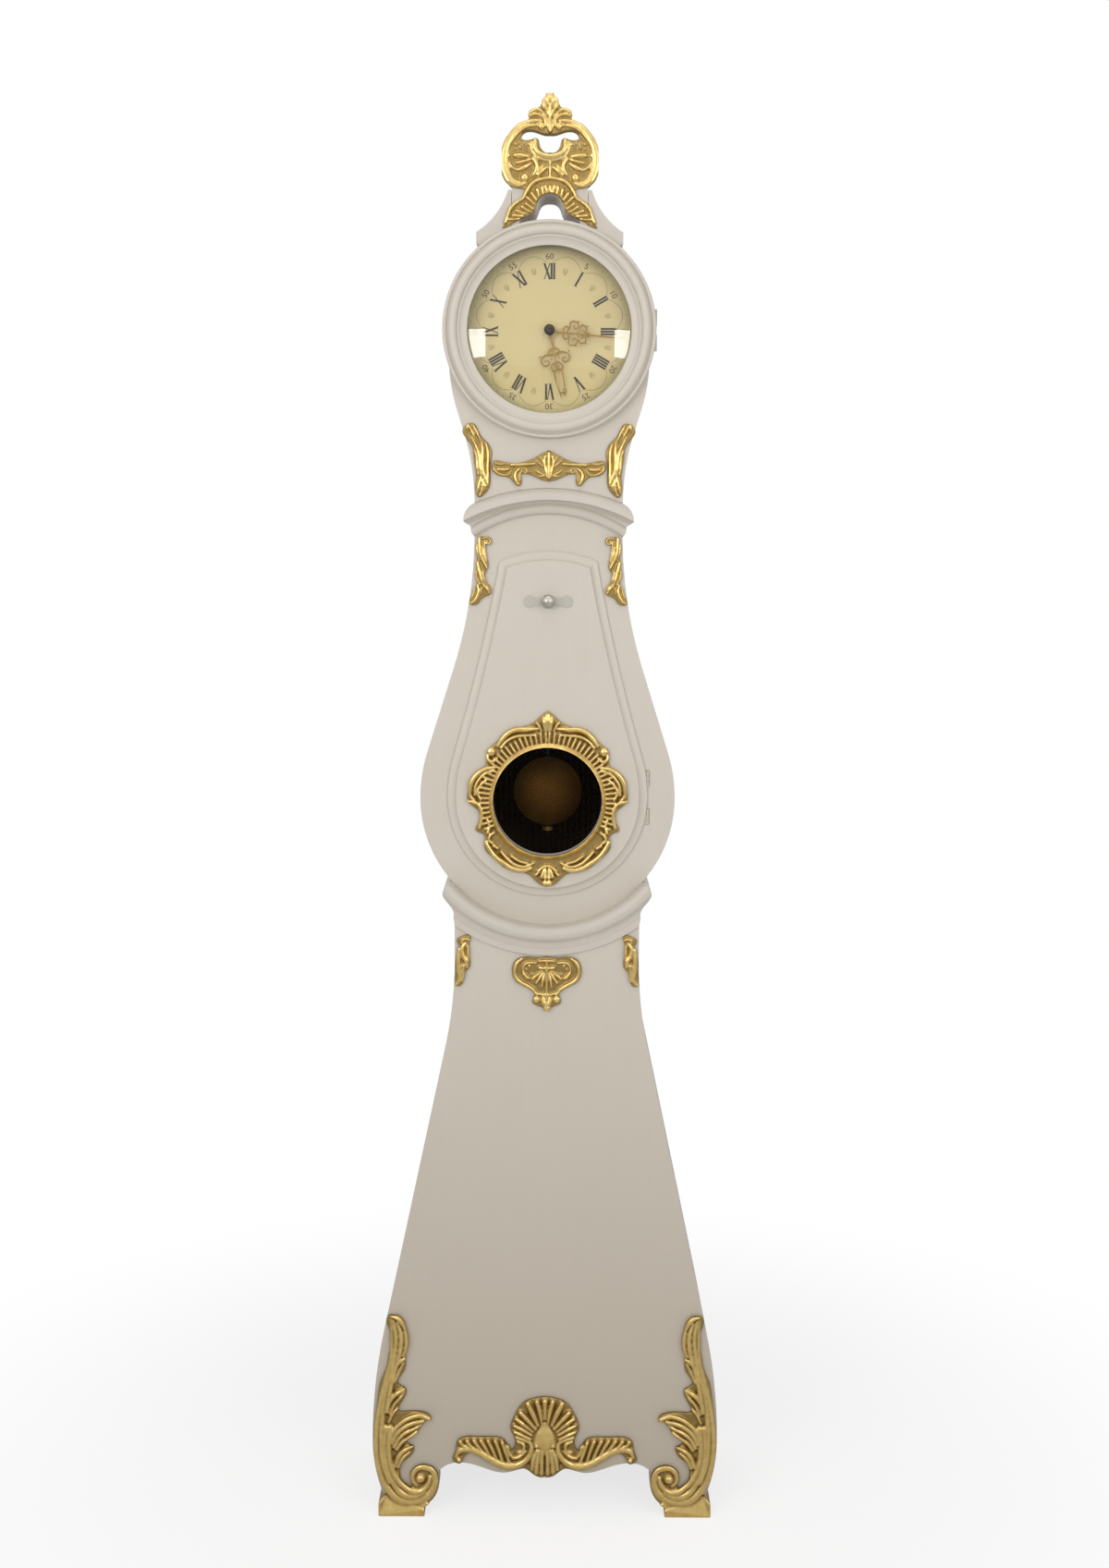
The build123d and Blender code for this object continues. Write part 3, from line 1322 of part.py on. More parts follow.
def bob_profile():
    rise = (bob_t - bob_edge_t) / 2
    Line((0, pendulum_y + bob_t / 2), (0, pendulum_y - bob_t / 2))
    cap(pendulum_y - bob_t / 2, bob_r, rise)
    Line((bob_r, pendulum_y - bob_edge_t / 2), (bob_r, pendulum_y + bob_edge_t / 2))
    cap(pendulum_y + bob_t / 2, bob_r, -rise)


with BuildPart() as pendulum_bob:
    turned(bob_z, bob_profile)
    low = bob_z - bob_r - 1
    high = bob_z + bob_r + 1
    box_between(-rod_w / 2, rod_w / 2, rod_front, rod_back, low, high, Mode.SUBTRACT)
pendulum_bob.part.label = "pendulum_bob"
export_step(pendulum_bob.part, "parts/pendulum_bob.step")

with BuildPart() as rating_nut:
    nut_low_z = nut_top_z - nut_t
    with Locations((0, pendulum_y, nut_top_z - nut_t / 2)):
        Cylinder(nut_r, nut_t)
    box_between(
        -rod_w / 2, rod_w / 2, rod_front, rod_back, nut_low_z, nut_top_z, Mode.SUBTRACT
    )
rating_nut.part.label = "rating_nut"
export_step(rating_nut.part, "parts/rating_nut.step")

# ---------------------------------------------------------------- weight and line
weight_body_top = weight_top_z - 2 * hook_r - 4
with BuildPart() as weight:
    with Locations((-sheave_r, rope_y, weight_body_top - weight_len / 2)):
        Cylinder(weight_r, weight_len)
    fillet(edges().filter_by(GeomType.CIRCLE), 5)
    with Locations((-sheave_r, rope_y, weight_body_top + 1.5)):
        Cylinder(3.5, 6)
    with Locations(Location((-sheave_r, rope_y, weight_top_z - hook_r), (90, 0, 0))):
        Torus(hook_r - hook_wire_r, hook_wire_r)
weight.part.label = "weight"
export_step(weight.part, "parts/weight.step")

with BuildPart() as line_ring:
    with Locations(Location((sheave_r, rope_y, ring_z), (90, 0, 0))):
        Torus(ring_r, ring_tube_r)
line_ring.part.label = "line_ring"
export_step(line_ring.part, "parts/line_ring.step")

with BuildPart() as weight_line:
    with BuildLine(facing(rope_y)):
        up = Line((-sheave_r, weight_top_z + line_gap), (-sheave_r, great_at[1]))
        over = ThreePointArc(up @ 1, (0, great_at[1] + sheave_r), (sheave_r, great_at[1]))
        Line(over @ 1, (sheave_r, ring_z + ring_r + ring_tube_r + line_gap))
    with BuildSketch(Plane.XY.offset(weight_top_z + line_gap)):
        with Locations((-sheave_r, rope_y)):
            Circle(rope_r)
    sweep()
weight_line.part.label = "weight_line"
export_step(weight_line.part, "parts/weight_line.step")
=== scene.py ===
import json
import math
import bmesh
import bpy
import numpy as np
from mathutils import Matrix, Vector


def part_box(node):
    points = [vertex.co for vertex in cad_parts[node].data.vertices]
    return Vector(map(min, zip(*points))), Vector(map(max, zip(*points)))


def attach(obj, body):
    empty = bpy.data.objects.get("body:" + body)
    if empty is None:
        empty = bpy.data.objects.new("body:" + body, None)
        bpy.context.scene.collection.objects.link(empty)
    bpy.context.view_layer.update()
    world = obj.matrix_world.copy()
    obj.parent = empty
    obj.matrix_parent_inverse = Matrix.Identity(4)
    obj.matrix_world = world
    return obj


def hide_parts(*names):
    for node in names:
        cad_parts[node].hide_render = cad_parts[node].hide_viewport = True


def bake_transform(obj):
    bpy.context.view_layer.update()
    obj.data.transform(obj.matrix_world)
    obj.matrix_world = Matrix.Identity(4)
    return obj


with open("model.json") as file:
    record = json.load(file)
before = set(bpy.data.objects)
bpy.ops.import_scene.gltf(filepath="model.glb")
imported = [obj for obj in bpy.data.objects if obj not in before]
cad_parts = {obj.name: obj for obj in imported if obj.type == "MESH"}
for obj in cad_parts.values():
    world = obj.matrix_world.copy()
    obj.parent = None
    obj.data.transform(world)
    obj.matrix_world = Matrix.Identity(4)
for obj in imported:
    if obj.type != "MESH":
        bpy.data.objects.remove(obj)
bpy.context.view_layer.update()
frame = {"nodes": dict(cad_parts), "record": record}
nodes = frame["nodes"]
bodies = frame["record"]["behaviour"]["bodies"]
bodyOf = {name: body for body, members in bodies.items() for name in members}
slotOf = {part["node"]: part["material_slot"] for part in frame["record"]["subparts"]}
mm = 0.001


def linear(hexColour):
    shares = [int(hexColour[i:i + 2], 16) / 255 for i in (1, 3, 5)]
    return tuple(c / 12.92 if c <= 0.04045 else ((c + 0.055) / 1.055) ** 2.4 for c in shares) + (1.0,)


def addNode(tree, kind, settings=None, links=None):
    node = tree.nodes.new("ShaderNode" + kind)
    for name, value in (settings or {}).items():
        if isinstance(name, int) or name in node.inputs:
            node.inputs[name].default_value = value
        else:
            setattr(node, name, value)
    for name, socket in (links or {}).items():
        tree.links.new(socket, node.inputs[name])
    return node


def newMaterial(name, surface, joined=True):
    material = bpy.data.materials.new(name)
    material.use_nodes = True
    tree = material.node_tree
    tree.nodes.clear()
    shader = addNode(tree, "BsdfPrincipled", surface)
    if joined:
        addNode(tree, "OutputMaterial", links={"Surface": shader.outputs[0]})
    return material, tree, shader


# Satin linseed oil paint on wood, brushed along the boards: an even, soft sheen with faint brush
# lines, and painted shade giving a darker tone low down.
paintSettings = {
    "roughness": 0.42, "ior": 1.48,
    "cloudSize": 160.0,     # mm, patches of slightly uneven colour
    "bristleSize": 4.8,     # mm, drawn coarser than real so that it shows
    "bristleStretch": 0.03, "bristleTone": 0.03,
    "bristleRelief": 0.04, "bristleDepth": 0.2,  # mm
    "lowHeight": 1.0,       # m, above this height the paint has no painted shade
    "edgeRound": 0.8,       # mm, worn arris of the boards
}


def satinPaint(name, light, shade, low):
    material, tree, shader = newMaterial(name, {"Roughness": paintSettings["roughness"],
                                                "IOR": paintSettings["ior"]})
    coords = addNode(tree, "TexCoord").outputs["Object"]
    clouds = addNode(tree, "TexNoise", {"Scale": 1000 / paintSettings["cloudSize"], "Detail": 3.0,
                                        "Roughness": 0.55}, {"Vector": coords})
    bristles = addNode(tree, "Mapping", {"Scale": (1.0, 1.0, paintSettings["bristleStretch"])},
                       {"Vector": coords})
    lines = addNode(tree, "TexNoise", {"Scale": 1000 / paintSettings["bristleSize"], "Detail": 2.0},
                    {"Vector": bristles.outputs[0]})
    height = addNode(tree, "SeparateXYZ", links={0: coords}).outputs["Z"]
    rise = addNode(tree, "MapRange", {"From Min": 0.0, "From Max": paintSettings["lowHeight"]},
                   {"Value": height})
    tone = addNode(tree, "Mix", {"data_type": "RGBA", 6: linear(light), 7: linear(shade)},
                   {0: clouds.outputs[0]})
    # painted shade: the low colour darkens the paint towards the floor
    lowShaded = addNode(tree, "Mix", {"data_type": "RGBA", 6: linear(low)},
                   {0: rise.outputs[0], 7: tone.outputs[2]})
    fine = addNode(tree, "Mix", {"data_type": "RGBA", "blend_type": "MULTIPLY",
                                 0: paintSettings["bristleTone"]}, {6: lowShaded.outputs[2], 7: lines.outputs[0]})
    tree.links.new(fine.outputs[2], shader.inputs["Base Color"])
    arris = addNode(tree, "Bevel", {"Radius": paintSettings["edgeRound"] * mm, "samples": 4})
    relief = addNode(tree, "Bump", {"Strength": paintSettings["bristleRelief"],
                                    "Distance": paintSettings["bristleDepth"] * mm},
                     {"Height": lines.outputs[0], "Normal": arris.outputs[0]})
    tree.links.new(relief.outputs[0], shader.inputs["Normal"])
    return material


# Water gilding over red-brown bole: burnished metal on the heights, dull in the hollows, and dark there with
# bole and painted shade; painted shade also darkens it towards the floor.
giltSettings = {
    "leafSize": 9.0,        # mm
    "burnished": 0.24, "dull": 0.55, "uneven": 0.12,  # roughness
    "relief": 0.15, "reliefDepth": 0.4,               # mm
    "groundDark": 0.62, "groundDepth": 2.4,  # share of bole and painted shade on the ground and the sides that fall to it, and how far up it fades in mm
    "floorShade": 0.2, "floorShadeHeight": 1.1,          # share of painted shade at the floor, and how far up it fades in m
}


def waterGilding(name, bright, leaf, hollow):
    material, tree, shader = newMaterial(name, {"Metallic": 1.0})
    coords = addNode(tree, "TexCoord").outputs["Object"]
    depth = addNode(tree, "Attribute", {"attribute_name": "hollow"}).outputs["Fac"]
    spots = addNode(tree, "TexNoise", {"Scale": 1000 / giltSettings["leafSize"], "Detail": 4.0},
                    {"Vector": coords})
    tone = addNode(tree, "Mix", {"data_type": "RGBA", 6: linear(bright), 7: linear(leaf)},
                   {0: spots.outputs[0]})
    height = addNode(tree, "SeparateXYZ", links={0: coords}).outputs["Z"]
    # painted shade: the gilding darkens towards the floor
    floorShade = addNode(tree, "MapRange", {"From Min": 0.0, "From Max": giltSettings["floorShadeHeight"],
                                      "To Min": giltSettings["floorShade"], "To Max": 0.0}, {"Value": height})
    dimmed = addNode(tree, "Mix", {"data_type": "RGBA", 7: linear(hollow)},
                     {0: floorShade.outputs[0], 6: tone.outputs[2]})
    shaded = addNode(tree, "Mix", {"data_type": "RGBA", 7: linear(hollow)}, {0: depth, 6: dimmed.outputs[2]})
    tree.links.new(shaded.outputs[2], shader.inputs["Base Color"])
    rough = addNode(tree, "MapRange", {"From Min": 0.0, "From Max": 1.0, "To Min": giltSettings["burnished"],
                                       "To Max": giltSettings["dull"]}, {"Value": depth})
    uneven = addNode(tree, "Math", {"operation": "MULTIPLY_ADD", 1: giltSettings["uneven"]},
                     {0: spots.outputs[0], 2: rough.outputs[0]})
    tree.links.new(uneven.outputs[0], shader.inputs["Roughness"])
    relief = addNode(tree, "Bump", {"Strength": giltSettings["relief"],
                                    "Distance": giltSettings["reliefDepth"] * mm},
                     {"Height": spots.outputs[0]})
    tree.links.new(relief.outputs[0], shader.inputs["Normal"])
    return material


# Metal that is a little tarnished in patches, and duller there.
metalSettings = {"patch": 14.0, "spread": 0.25}  # mm, share of the roughness


def agedMetal(name, clean, tarnished, roughness, patch=metalSettings["patch"]):
    material, tree, shader = newMaterial(name, {"Metallic": 1.0})
    coords = addNode(tree, "TexCoord").outputs["Object"]
    patches = addNode(tree, "TexNoise", {"Scale": 1000 / patch, "Detail": 3.0}, {"Vector": coords})
    tone = addNode(tree, "Mix", {"data_type": "RGBA", 6: linear(clean), 7: linear(tarnished)},
                   {0: patches.outputs[0]})
    tree.links.new(tone.outputs[2], shader.inputs["Base Color"])
    rough = addNode(tree, "MapRange", {"To Min": roughness * (1 - metalSettings["spread"]),
                                       "To Max": roughness * (1 + metalSettings["spread"])},
                    {"Value": patches.outputs[0]})
    tree.links.new(rough.outputs[0], shader.inputs["Roughness"])
    return material


# Old pine, unpainted and gone dark, drawn darker still as painted shade inside the case: growth rings run up
# the boards.
pineSettings = {"roughness": 0.8, "specular": 0.1, "stretch": 0.06, "rings": 30.0, "waviness": 5.0}


def barePine(name, early, late):
    material, tree, shader = newMaterial(name, {"Roughness": pineSettings["roughness"], "IOR": 1.45,
                                                "Specular IOR Level": pineSettings["specular"]})
    coords = addNode(tree, "TexCoord").outputs["Object"]
    along = addNode(tree, "Mapping", {"Scale": (1.0, 1.0, pineSettings["stretch"])}, {"Vector": coords})
    rings = addNode(tree, "TexWave", {"bands_direction": "X", "Scale": pineSettings["rings"],
                                      "Distortion": pineSettings["waviness"], "Detail": 2.0},
                    {"Vector": along.outputs[0]})
    tone = addNode(tree, "Mix", {"data_type": "RGBA", 6: linear(early), 7: linear(late)},
                   {0: rings.outputs["Fac"]})
    tree.links.new(tone.outputs[2], shader.inputs["Base Color"])
    return material


# Cream enamel under an amber varnish, with painted shade from the bezel darkening it towards the rim.
dialSettings = {
    "centre": (0.0, 2011.5), "face": -86.0,  # mm: x and z, and y of the front
    "clear": 110.0, "dark": 150.0,           # mm from the centre: painted shade darkens the face between these
    "cloudScale": 14.0, "roughness": 0.3,
    "ink": 0.12, "inkSunk": 0.02,            # mm that paint stands proud, and lies below the face
    "numeralRing": 96.0, "numeralHeight": 25.0, "serif": 0.5, "serifReach": 0.95,
    "minuteRing": 119.0, "minuteSize": 13.5, "minuteDepth": 0.05, "minuteLift": 0.07,
    "archRing": 110.0, "archRise": 12.0, "archSteps": 6, "archStep": 2.1, "archLine": 0.7,  # steps in degrees
    "halfHourRing": 98.0, "tulip": ((0, -5), (2.6, -2), (3.2, 2), (1.4, 5.2)), "tulipLine": 0.9,
    "pistil": (-2, 3, 1.4, 0.6),             # foot, tip and the width of each
    "minuteMark": (126.5, 128.5, 0.8),       # from, to, width
}


def dialEnamel(name, middle, patch, rimShade):
    material, tree, shader = newMaterial(name, {"Roughness": dialSettings["roughness"], "IOR": 1.5})
    x, z = dialSettings["centre"]
    coords = addNode(tree, "TexCoord").outputs["Object"]
    centred = addNode(tree, "Mapping", {"vector_type": "POINT", "Location": (-x * mm, 0.0, -z * mm),
                                        "Scale": (1.0, 0.0, 1.0)}, {"Vector": coords})
    reach = addNode(tree, "VectorMath", {"operation": "LENGTH"}, {0: centred.outputs[0]})
    clouds = addNode(tree, "TexNoise", {"Scale": dialSettings["cloudScale"], "Detail": 3.0},
                     {"Vector": coords})
    tone = addNode(tree, "Mix", {"data_type": "RGBA", 6: linear(middle), 7: linear(patch)},
                   {0: clouds.outputs[0]})
    # painted shade from the bezel, darkening the face towards the rim
    edge = addNode(tree, "MapRange", {"interpolation_type": "SMOOTHSTEP",
                                      "From Min": dialSettings["clear"] * mm,
                                      "From Max": dialSettings["dark"] * mm},
                   {"Value": reach.outputs["Value"]})
    face = addNode(tree, "Mix", {"data_type": "RGBA", 7: linear(rimShade)},
                   {0: edge.outputs[0], 6: tone.outputs[2]})
    tree.links.new(face.outputs[2], shader.inputs["Base Color"])
    return material


# Clear glass, through which lamp light passes straight to what is behind it.
def clearGlass(name, tint, ior):
    material, tree, shader = newMaterial(name, {"Base Color": linear(tint), "Roughness": 0.02, "IOR": ior,
                                                "Transmission Weight": 1.0}, joined=False)
    ray = addNode(tree, "LightPath").outputs["Is Shadow Ray"]
    through = addNode(tree, "BsdfTransparent", {"Color": linear(tint)})
    both = addNode(tree, "MixShader", links={0: ray, 1: shader.outputs[0], 2: through.outputs[0]})
    addNode(tree, "OutputMaterial", links={"Surface": both.outputs[0]})
    return material


def twistedCord(name):
    material, tree, shader = newMaterial(name, {"Roughness": 0.9})
    coords = addNode(tree, "TexCoord").outputs["Object"]
    strands = addNode(tree, "TexWave", {"bands_direction": "DIAGONAL", "Scale": 160.0}, {"Vector": coords})
    tone = addNode(tree, "Mix", {"data_type": "RGBA", 6: linear("#8A7553"), 7: linear("#4E3F2B")},
                   {0: strands.outputs["Fac"]})
    tree.links.new(tone.outputs[2], shader.inputs["Base Color"])
    return material


print("materials")
finishes = {
    # The last colour of each paint is painted shade, low down.
    "painted_wood": satinPaint("satinPaint", "#D5CDC1", "#CEC6B8", "#B9AE9D"),
    "grey_moulding": satinPaint("satinPaintMoulding", "#D2CABF", "#CBC3B6", "#B9AE9D"),
    "painted_hinges": satinPaint("paintedIron", "#CDC5B6", "#C4BBAB", "#B9AF9C"),
    # The last colour is bole and painted shade, for the hollows, the ground and low down.
    "gilded_carving": waterGilding("waterGilding", "#EBD492", "#C29C52", "#462C10"),
    # aged pine, darkened further as painted shade for the inside of the case
    "bare_pine": barePine("agedShadedPine", "#3A2616", "#281A0F"),
    "enamelled_dial": dialEnamel("dialEnamel", "#C8B88A", "#C2B07C", "#958A60"),
    "clear_glass": clearGlass("domedGlass", "#F7F7F4", 1.4),
    "movement_brass": agedMetal("satinBrass", "#C9A25A", "#8E6A30", 0.35),
    "gilt_brass": agedMetal("giltBrass", "#B48C48", "#7C5C28", 0.35),
    "knob_plate_metal": agedMetal("pewteredBrass", "#CCC8BE", "#A09C92", 0.38),
    "blued_steel": agedMetal("bluedSteel", "#3C4046", "#2B2D32", 0.3),
    "weight_iron": agedMetal("blackIron", "#2B2926", "#1E1C1A", 0.6),
    "line_cord": twistedCord("twistedCord"),
}
ownFinish = {
    "door_window_glass": clearGlass("oldWindowGlass", "#E2DCCB", 1.12),
    "pendulum_bob": agedMetal("bronzedBob", "#72542A", "#614622", 0.55, 60.0),
    "hand_nut": agedMetal("bronzedBoss", "#4E3E2E", "#382B1F", 0.22),
}
dialInk = newMaterial("dialInk", {"Base Color": linear("#22170F"), "Roughness": 0.45})[0]
paleInk = newMaterial("paleDialInk", {"Base Color": linear("#6E5D3A"), "Roughness": 0.45})[0]

for name, node in nodes.items():
    node.data.materials.clear()
    node.data.materials.append(ownFinish.get(name, finishes[slotOf[name]]))


def asPiece(name, mesh, body, material):
    piece = bpy.data.objects.new(name, mesh)
    bpy.context.scene.collection.objects.link(piece)
    mesh.materials.clear()
    mesh.materials.append(material)
    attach(piece, body)
    return piece


# What a carving takes unless its own settings say otherwise. Lengths are in mm.
carveDefaults = {
    "mirrored": False, "grain": 0.9,      # grain is the voxel that joins board and ridges
    "thicken": 1.45, "steepest": 1.45,    # shares of the drawn radius: width and height of a ridge
    "softening": 2,                       # rounds of smoothing
    "reach": 8, "hollow": 0.9,            # how wide an area a hollow is compared with, and when it is full
    "keepBelow": -1.0,                    # the board keeps its full thickness under this height
    "clamped": (0, 1, 2),                 # axes along which the piece stays in its node's box
}


# The carver's board: the piece's own outline, cut down to the level that the ridges rise from.
def carvedBoard(settings):
    bm = bmesh.new()
    bm.from_mesh(nodes[settings["node"]].data)
    bmesh.ops.remove_doubles(bm, verts=bm.verts[:], dist=0.00002)
    ground = settings["ground"] * mm
    for vert in bm.verts:
        kept = vert.co.z < settings["keepBelow"] * mm
        if "keepWithin" in settings:
            x, z, reach = settings["keepWithin"]
            kept = kept or math.hypot(vert.co.x - x * mm, vert.co.z - z * mm) < reach * mm
        if not kept:
            vert.co.y = max(vert.co.y, ground)
    return bm


# Each ridge is a tapered round rod bent through its (x, z, radius) points, with rounded ends.
def addRidges(bm, strokes, settings):
    ground, relief = settings["ground"], settings["relief"]
    for stroke in strokes:
        stroke = [(x, z, radius * settings["thicken"]) for x, z, radius in stroke]
        thick = max(radius for x, z, radius in stroke)
        flat = min(settings["steepest"], relief / thick)
        lay = Matrix.Translation((0, ground * mm, 0)) @ Matrix.Diagonal((mm, flat * mm, mm, 1))
        for x, z, radius in (stroke[0], stroke[-1]) if len(stroke) > 1 else (stroke[0],):
            bmesh.ops.create_icosphere(bm, subdivisions=2, radius=radius,
                                       matrix=lay @ Matrix.Translation((x, 0, z)))
        if len(stroke) == 1:
            continue
        curve = bpy.data.curves.new("ridge", "CURVE")
        curve.dimensions, curve.bevel_depth, curve.bevel_resolution = "3D", 1.0, 3
        curve.use_fill_caps, curve.resolution_u = True, 6
        spline = curve.splines.new("BEZIER")
        spline.bezier_points.add(len(stroke) - 1)
        for point, (x, z, radius) in zip(spline.bezier_points, stroke):
            point.co, point.radius = (x, 0, z), radius
            point.handle_left_type = point.handle_right_type = "AUTO"
        rod = bpy.data.objects.new("ridge", curve)
        bpy.context.scene.collection.objects.link(rod)
        bpy.context.view_layer.update()
        mesh = bpy.data.meshes.new_from_object(rod)
        mesh.transform(lay)
        bm.from_mesh(mesh)
        bpy.data.objects.remove(rod)
        bpy.data.curves.remove(curve)
        bpy.data.meshes.remove(mesh)


def mirroredToo(strokes):
    twins = [[(-x, z, radius) for x, z, radius in stroke] for stroke in strokes
             if any(abs(x) > 1 for x, z, radius in stroke)]
    return strokes + twins


# Notes how far each point lies below its surroundings and below the ground, for the dark bole and painted
# shade in the hollows and on the ground.
def noteHollows(mesh, settings):
    count = len(mesh.vertices)
    places = np.zeros(count * 3)
    mesh.vertices.foreach_get("co", places)
    height = -places[1::3]
    ends = np.zeros(len(mesh.edges) * 2, int)
    mesh.edges.foreach_get("vertices", ends)
    a, b = ends[::2], ends[1::2]
    shared = np.bincount(a, minlength=count) + np.bincount(b, minlength=count)
    around = height.copy()
    for _ in range(settings["reach"]):
        around = (np.bincount(a, around[b], count) + np.bincount(b, around[a], count)) / np.maximum(shared, 1)
    # painted shade on the ground and on the sides that fall to it
    low = np.clip(1 - (height + settings["ground"] * mm) / (giltSettings["groundDepth"] * mm), 0, 1)
    hollow = np.clip((around - height) / (settings["hollow"] * mm), 0, 1)
    hollow = np.maximum(hollow, low * giltSettings["groundDark"])
    for _ in range(2):
        hollow = (np.bincount(a, hollow[b], count) + np.bincount(b, hollow[a], count)) / np.maximum(shared, 1)
    layer = mesh.attributes.new("hollow", "FLOAT", "POINT")
    layer.data.foreach_set("value", hollow.astype(np.float32))


def carve(name, own, slot="gilded_carving"):
    settings = {**carveDefaults, **own}
    bm = bmesh.new() if "turned" in settings else carvedBoard(settings)
    strokes = settings["strokes"]
    addRidges(bm, mirroredToo(strokes) if settings["mirrored"] else strokes, settings)
    if "turned" in settings:  # drawn upright about the dial's centre, then turned to its hour
        x, z = dialSettings["centre"]
        turn = Matrix.Rotation(math.radians(settings["turned"]), 4, "Y")
        bmesh.ops.transform(bm, matrix=Matrix.Translation((x * mm, 0, z * mm)) @ turn, verts=bm.verts[:])
    rough = bpy.data.meshes.new(name)
    bm.to_mesh(rough)
    bm.free()
    block = bpy.data.objects.new(name, rough)
    bpy.context.scene.collection.objects.link(block)
    union = block.modifiers.new("union", "REMESH")
    union.mode, union.voxel_size = "VOXEL", settings["grain"] * mm
    bpy.context.view_layer.update()
    mesh = bpy.data.meshes.new_from_object(block.evaluated_get(bpy.context.evaluated_depsgraph_get()))
    bpy.data.objects.remove(block)
    bm = bmesh.new()
    bm.from_mesh(mesh)
    for _ in range(settings["softening"]):
        bmesh.ops.smooth_vert(bm, verts=bm.verts[:], factor=0.5, use_axis_x=True, use_axis_y=True,
                              use_axis_z=True)
    low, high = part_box(settings["node"])
    for vert in bm.verts:
        for axis in settings["clamped"]:
            vert.co[axis] = min(max(vert.co[axis], low[axis]), high[axis])
    for face in bm.faces:
        face.smooth = True
    bm.to_mesh(mesh)
    bm.free()
    noteHollows(mesh, settings)
    print("carving", name, len(mesh.polygons))
    piece = asPiece(name, mesh, bodyOf[settings["node"]], finishes[slot])
    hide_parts(settings["node"])
    if "twin" in settings:
        bm = bmesh.new()
        bm.from_mesh(mesh)
        bmesh.ops.scale(bm, vec=(-1, 1, 1), verts=bm.verts[:])
        bmesh.ops.reverse_faces(bm, faces=bm.faces[:])
        other = bpy.data.meshes.new(settings["twinName"])
        bm.to_mesh(other)
        bm.free()
        twin = asPiece(settings["twinName"], other, bodyOf[settings["twin"]], finishes["gilded_carving"])
        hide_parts(settings["twin"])


# Acanthus leaf up the corner, whose stem rolls under into the scroll foot. Points are x, z, radius in mm.
legSettings = {
    "node": "leg_acanthus_left", "twin": "leg_acanthus_right", "twinName": "rightLeg",
    "ground": -127.0, "relief": 6.8, "grain": 1.3, "keepBelow": 23.0, "thicken": 1.4, "hollow": 0.6,
    "strokes": [
        [(-262.5, 357, 2), (-253.5, 355, 3.5), (-245.5, 347, 3.5), (-240.5, 336, 2.5)],
        [(-240.5, 336, 2), (-237.5, 319, 3), (-238.5, 302, 3), (-242.5, 287.5, 2.5)],
        [(-252.5, 345.5, 2), (-246.5, 324, 3.5), (-247.5, 299.5, 3.5), (-253, 275, 3),
         (-259.5, 251, 2.5), (-266, 221.5, 3), (-271.5, 187.5, 3.5)],
        [(-259.5, 348, 1.5), (-255, 321.5, 3), (-256.5, 294.5, 3), (-260.5, 270.5, 3), (-268, 241, 2.5),
         (-276, 207, 3), (-280, 170, 3.5), (-281.5, 133.5, 3.5), (-278.5, 96.5, 4), (-267, 62, 5)],
        [(-263.5, 350.5, 1.5), (-263, 321.5, 2), (-264, 285, 2.5), (-271.5, 251, 2.5),
         (-279.5, 216.5, 3), (-286, 182.5, 3.5), (-290, 150.5, 3.5), (-290.5, 118.5, 3.5),
         (-286.5, 86.5, 4), (-277.5, 59.5, 4.5), (-263.5, 37, 5.5), (-243.5, 24.5, 6.5),
         (-222.5, 24.5, 6.5), (-203.5, 33.5, 6), (-192, 49.5, 5), (-189, 65.5, 4.5), (-194, 79.5, 4),
         (-206, 85, 4), (-218.5, 84, 3.5), (-226.5, 75.5, 3.5), (-227.5, 62, 3), (-221, 53, 2.5)],
        [(-266.5, 158, 3.5), (-269, 128.5, 3.5), (-266.5, 96.5, 3.5), (-256, 67, 4), (-243.5, 52, 4),
         (-227, 42, 4.5), (-210.5, 44.5, 4), (-200.5, 57, 3.5), (-197.5, 68, 2.5)],
        [(-274, 158, 3.5), (-276.5, 121, 3.5), (-273, 89, 4), (-262, 59.5, 4.5), (-246, 38.5, 5),
         (-224.5, 33.5, 5), (-208, 41, 4)],
        [(-266, 241, 2), (-259, 260.5, 2.5), (-250.5, 275, 3), (-241, 281.5, 2)],
        [(-257.5, 241, 2), (-250.5, 258, 2), (-243.5, 273, 1.5)],
        [(-271, 192, 2), (-263.5, 209.5, 3), (-253, 220.5, 3.5), (-241.5, 226.5, 2)],
        [(-266, 182.5, 2), (-259, 199.5, 2.5), (-248.5, 212, 2.5), (-242, 221.5, 1.5)],
        [(-268.5, 167.5, 2), (-261.5, 182.5, 2), (-253.5, 192, 1.5)],
        [(-266.5, 133.5, 3), (-261.5, 150.5, 3.5), (-248.5, 165.5, 3.5), (-231, 176.5, 3.5),
         (-212.5, 180, 3.5), (-199.5, 174.5, 3.5)],
        [(-263, 131, 3), (-256, 145.5, 3.5), (-243, 158, 3.5), (-226.5, 166.5, 3.5), (-210, 170, 3)],
        [(-259.5, 123.5, 3), (-251, 138.5, 3), (-238.5, 149.5, 3), (-224, 156.5, 2.5), (-213.5, 163, 2)],
        [(-255, 118.5, 2.5), (-246.5, 131, 2.5), (-233.5, 140.5, 2.5), (-221, 149.5, 2)],
        [(-257.5, 89, 3), (-251.5, 106.5, 3.5), (-241, 117.5, 3.5), (-228, 123.5, 2)],
        [(-252.5, 86.5, 2.5), (-245.5, 101.5, 3), (-234, 112.5, 2)], [(-214.5, 65, 6)],
    ],
}
carve("leftLeg", legSettings)


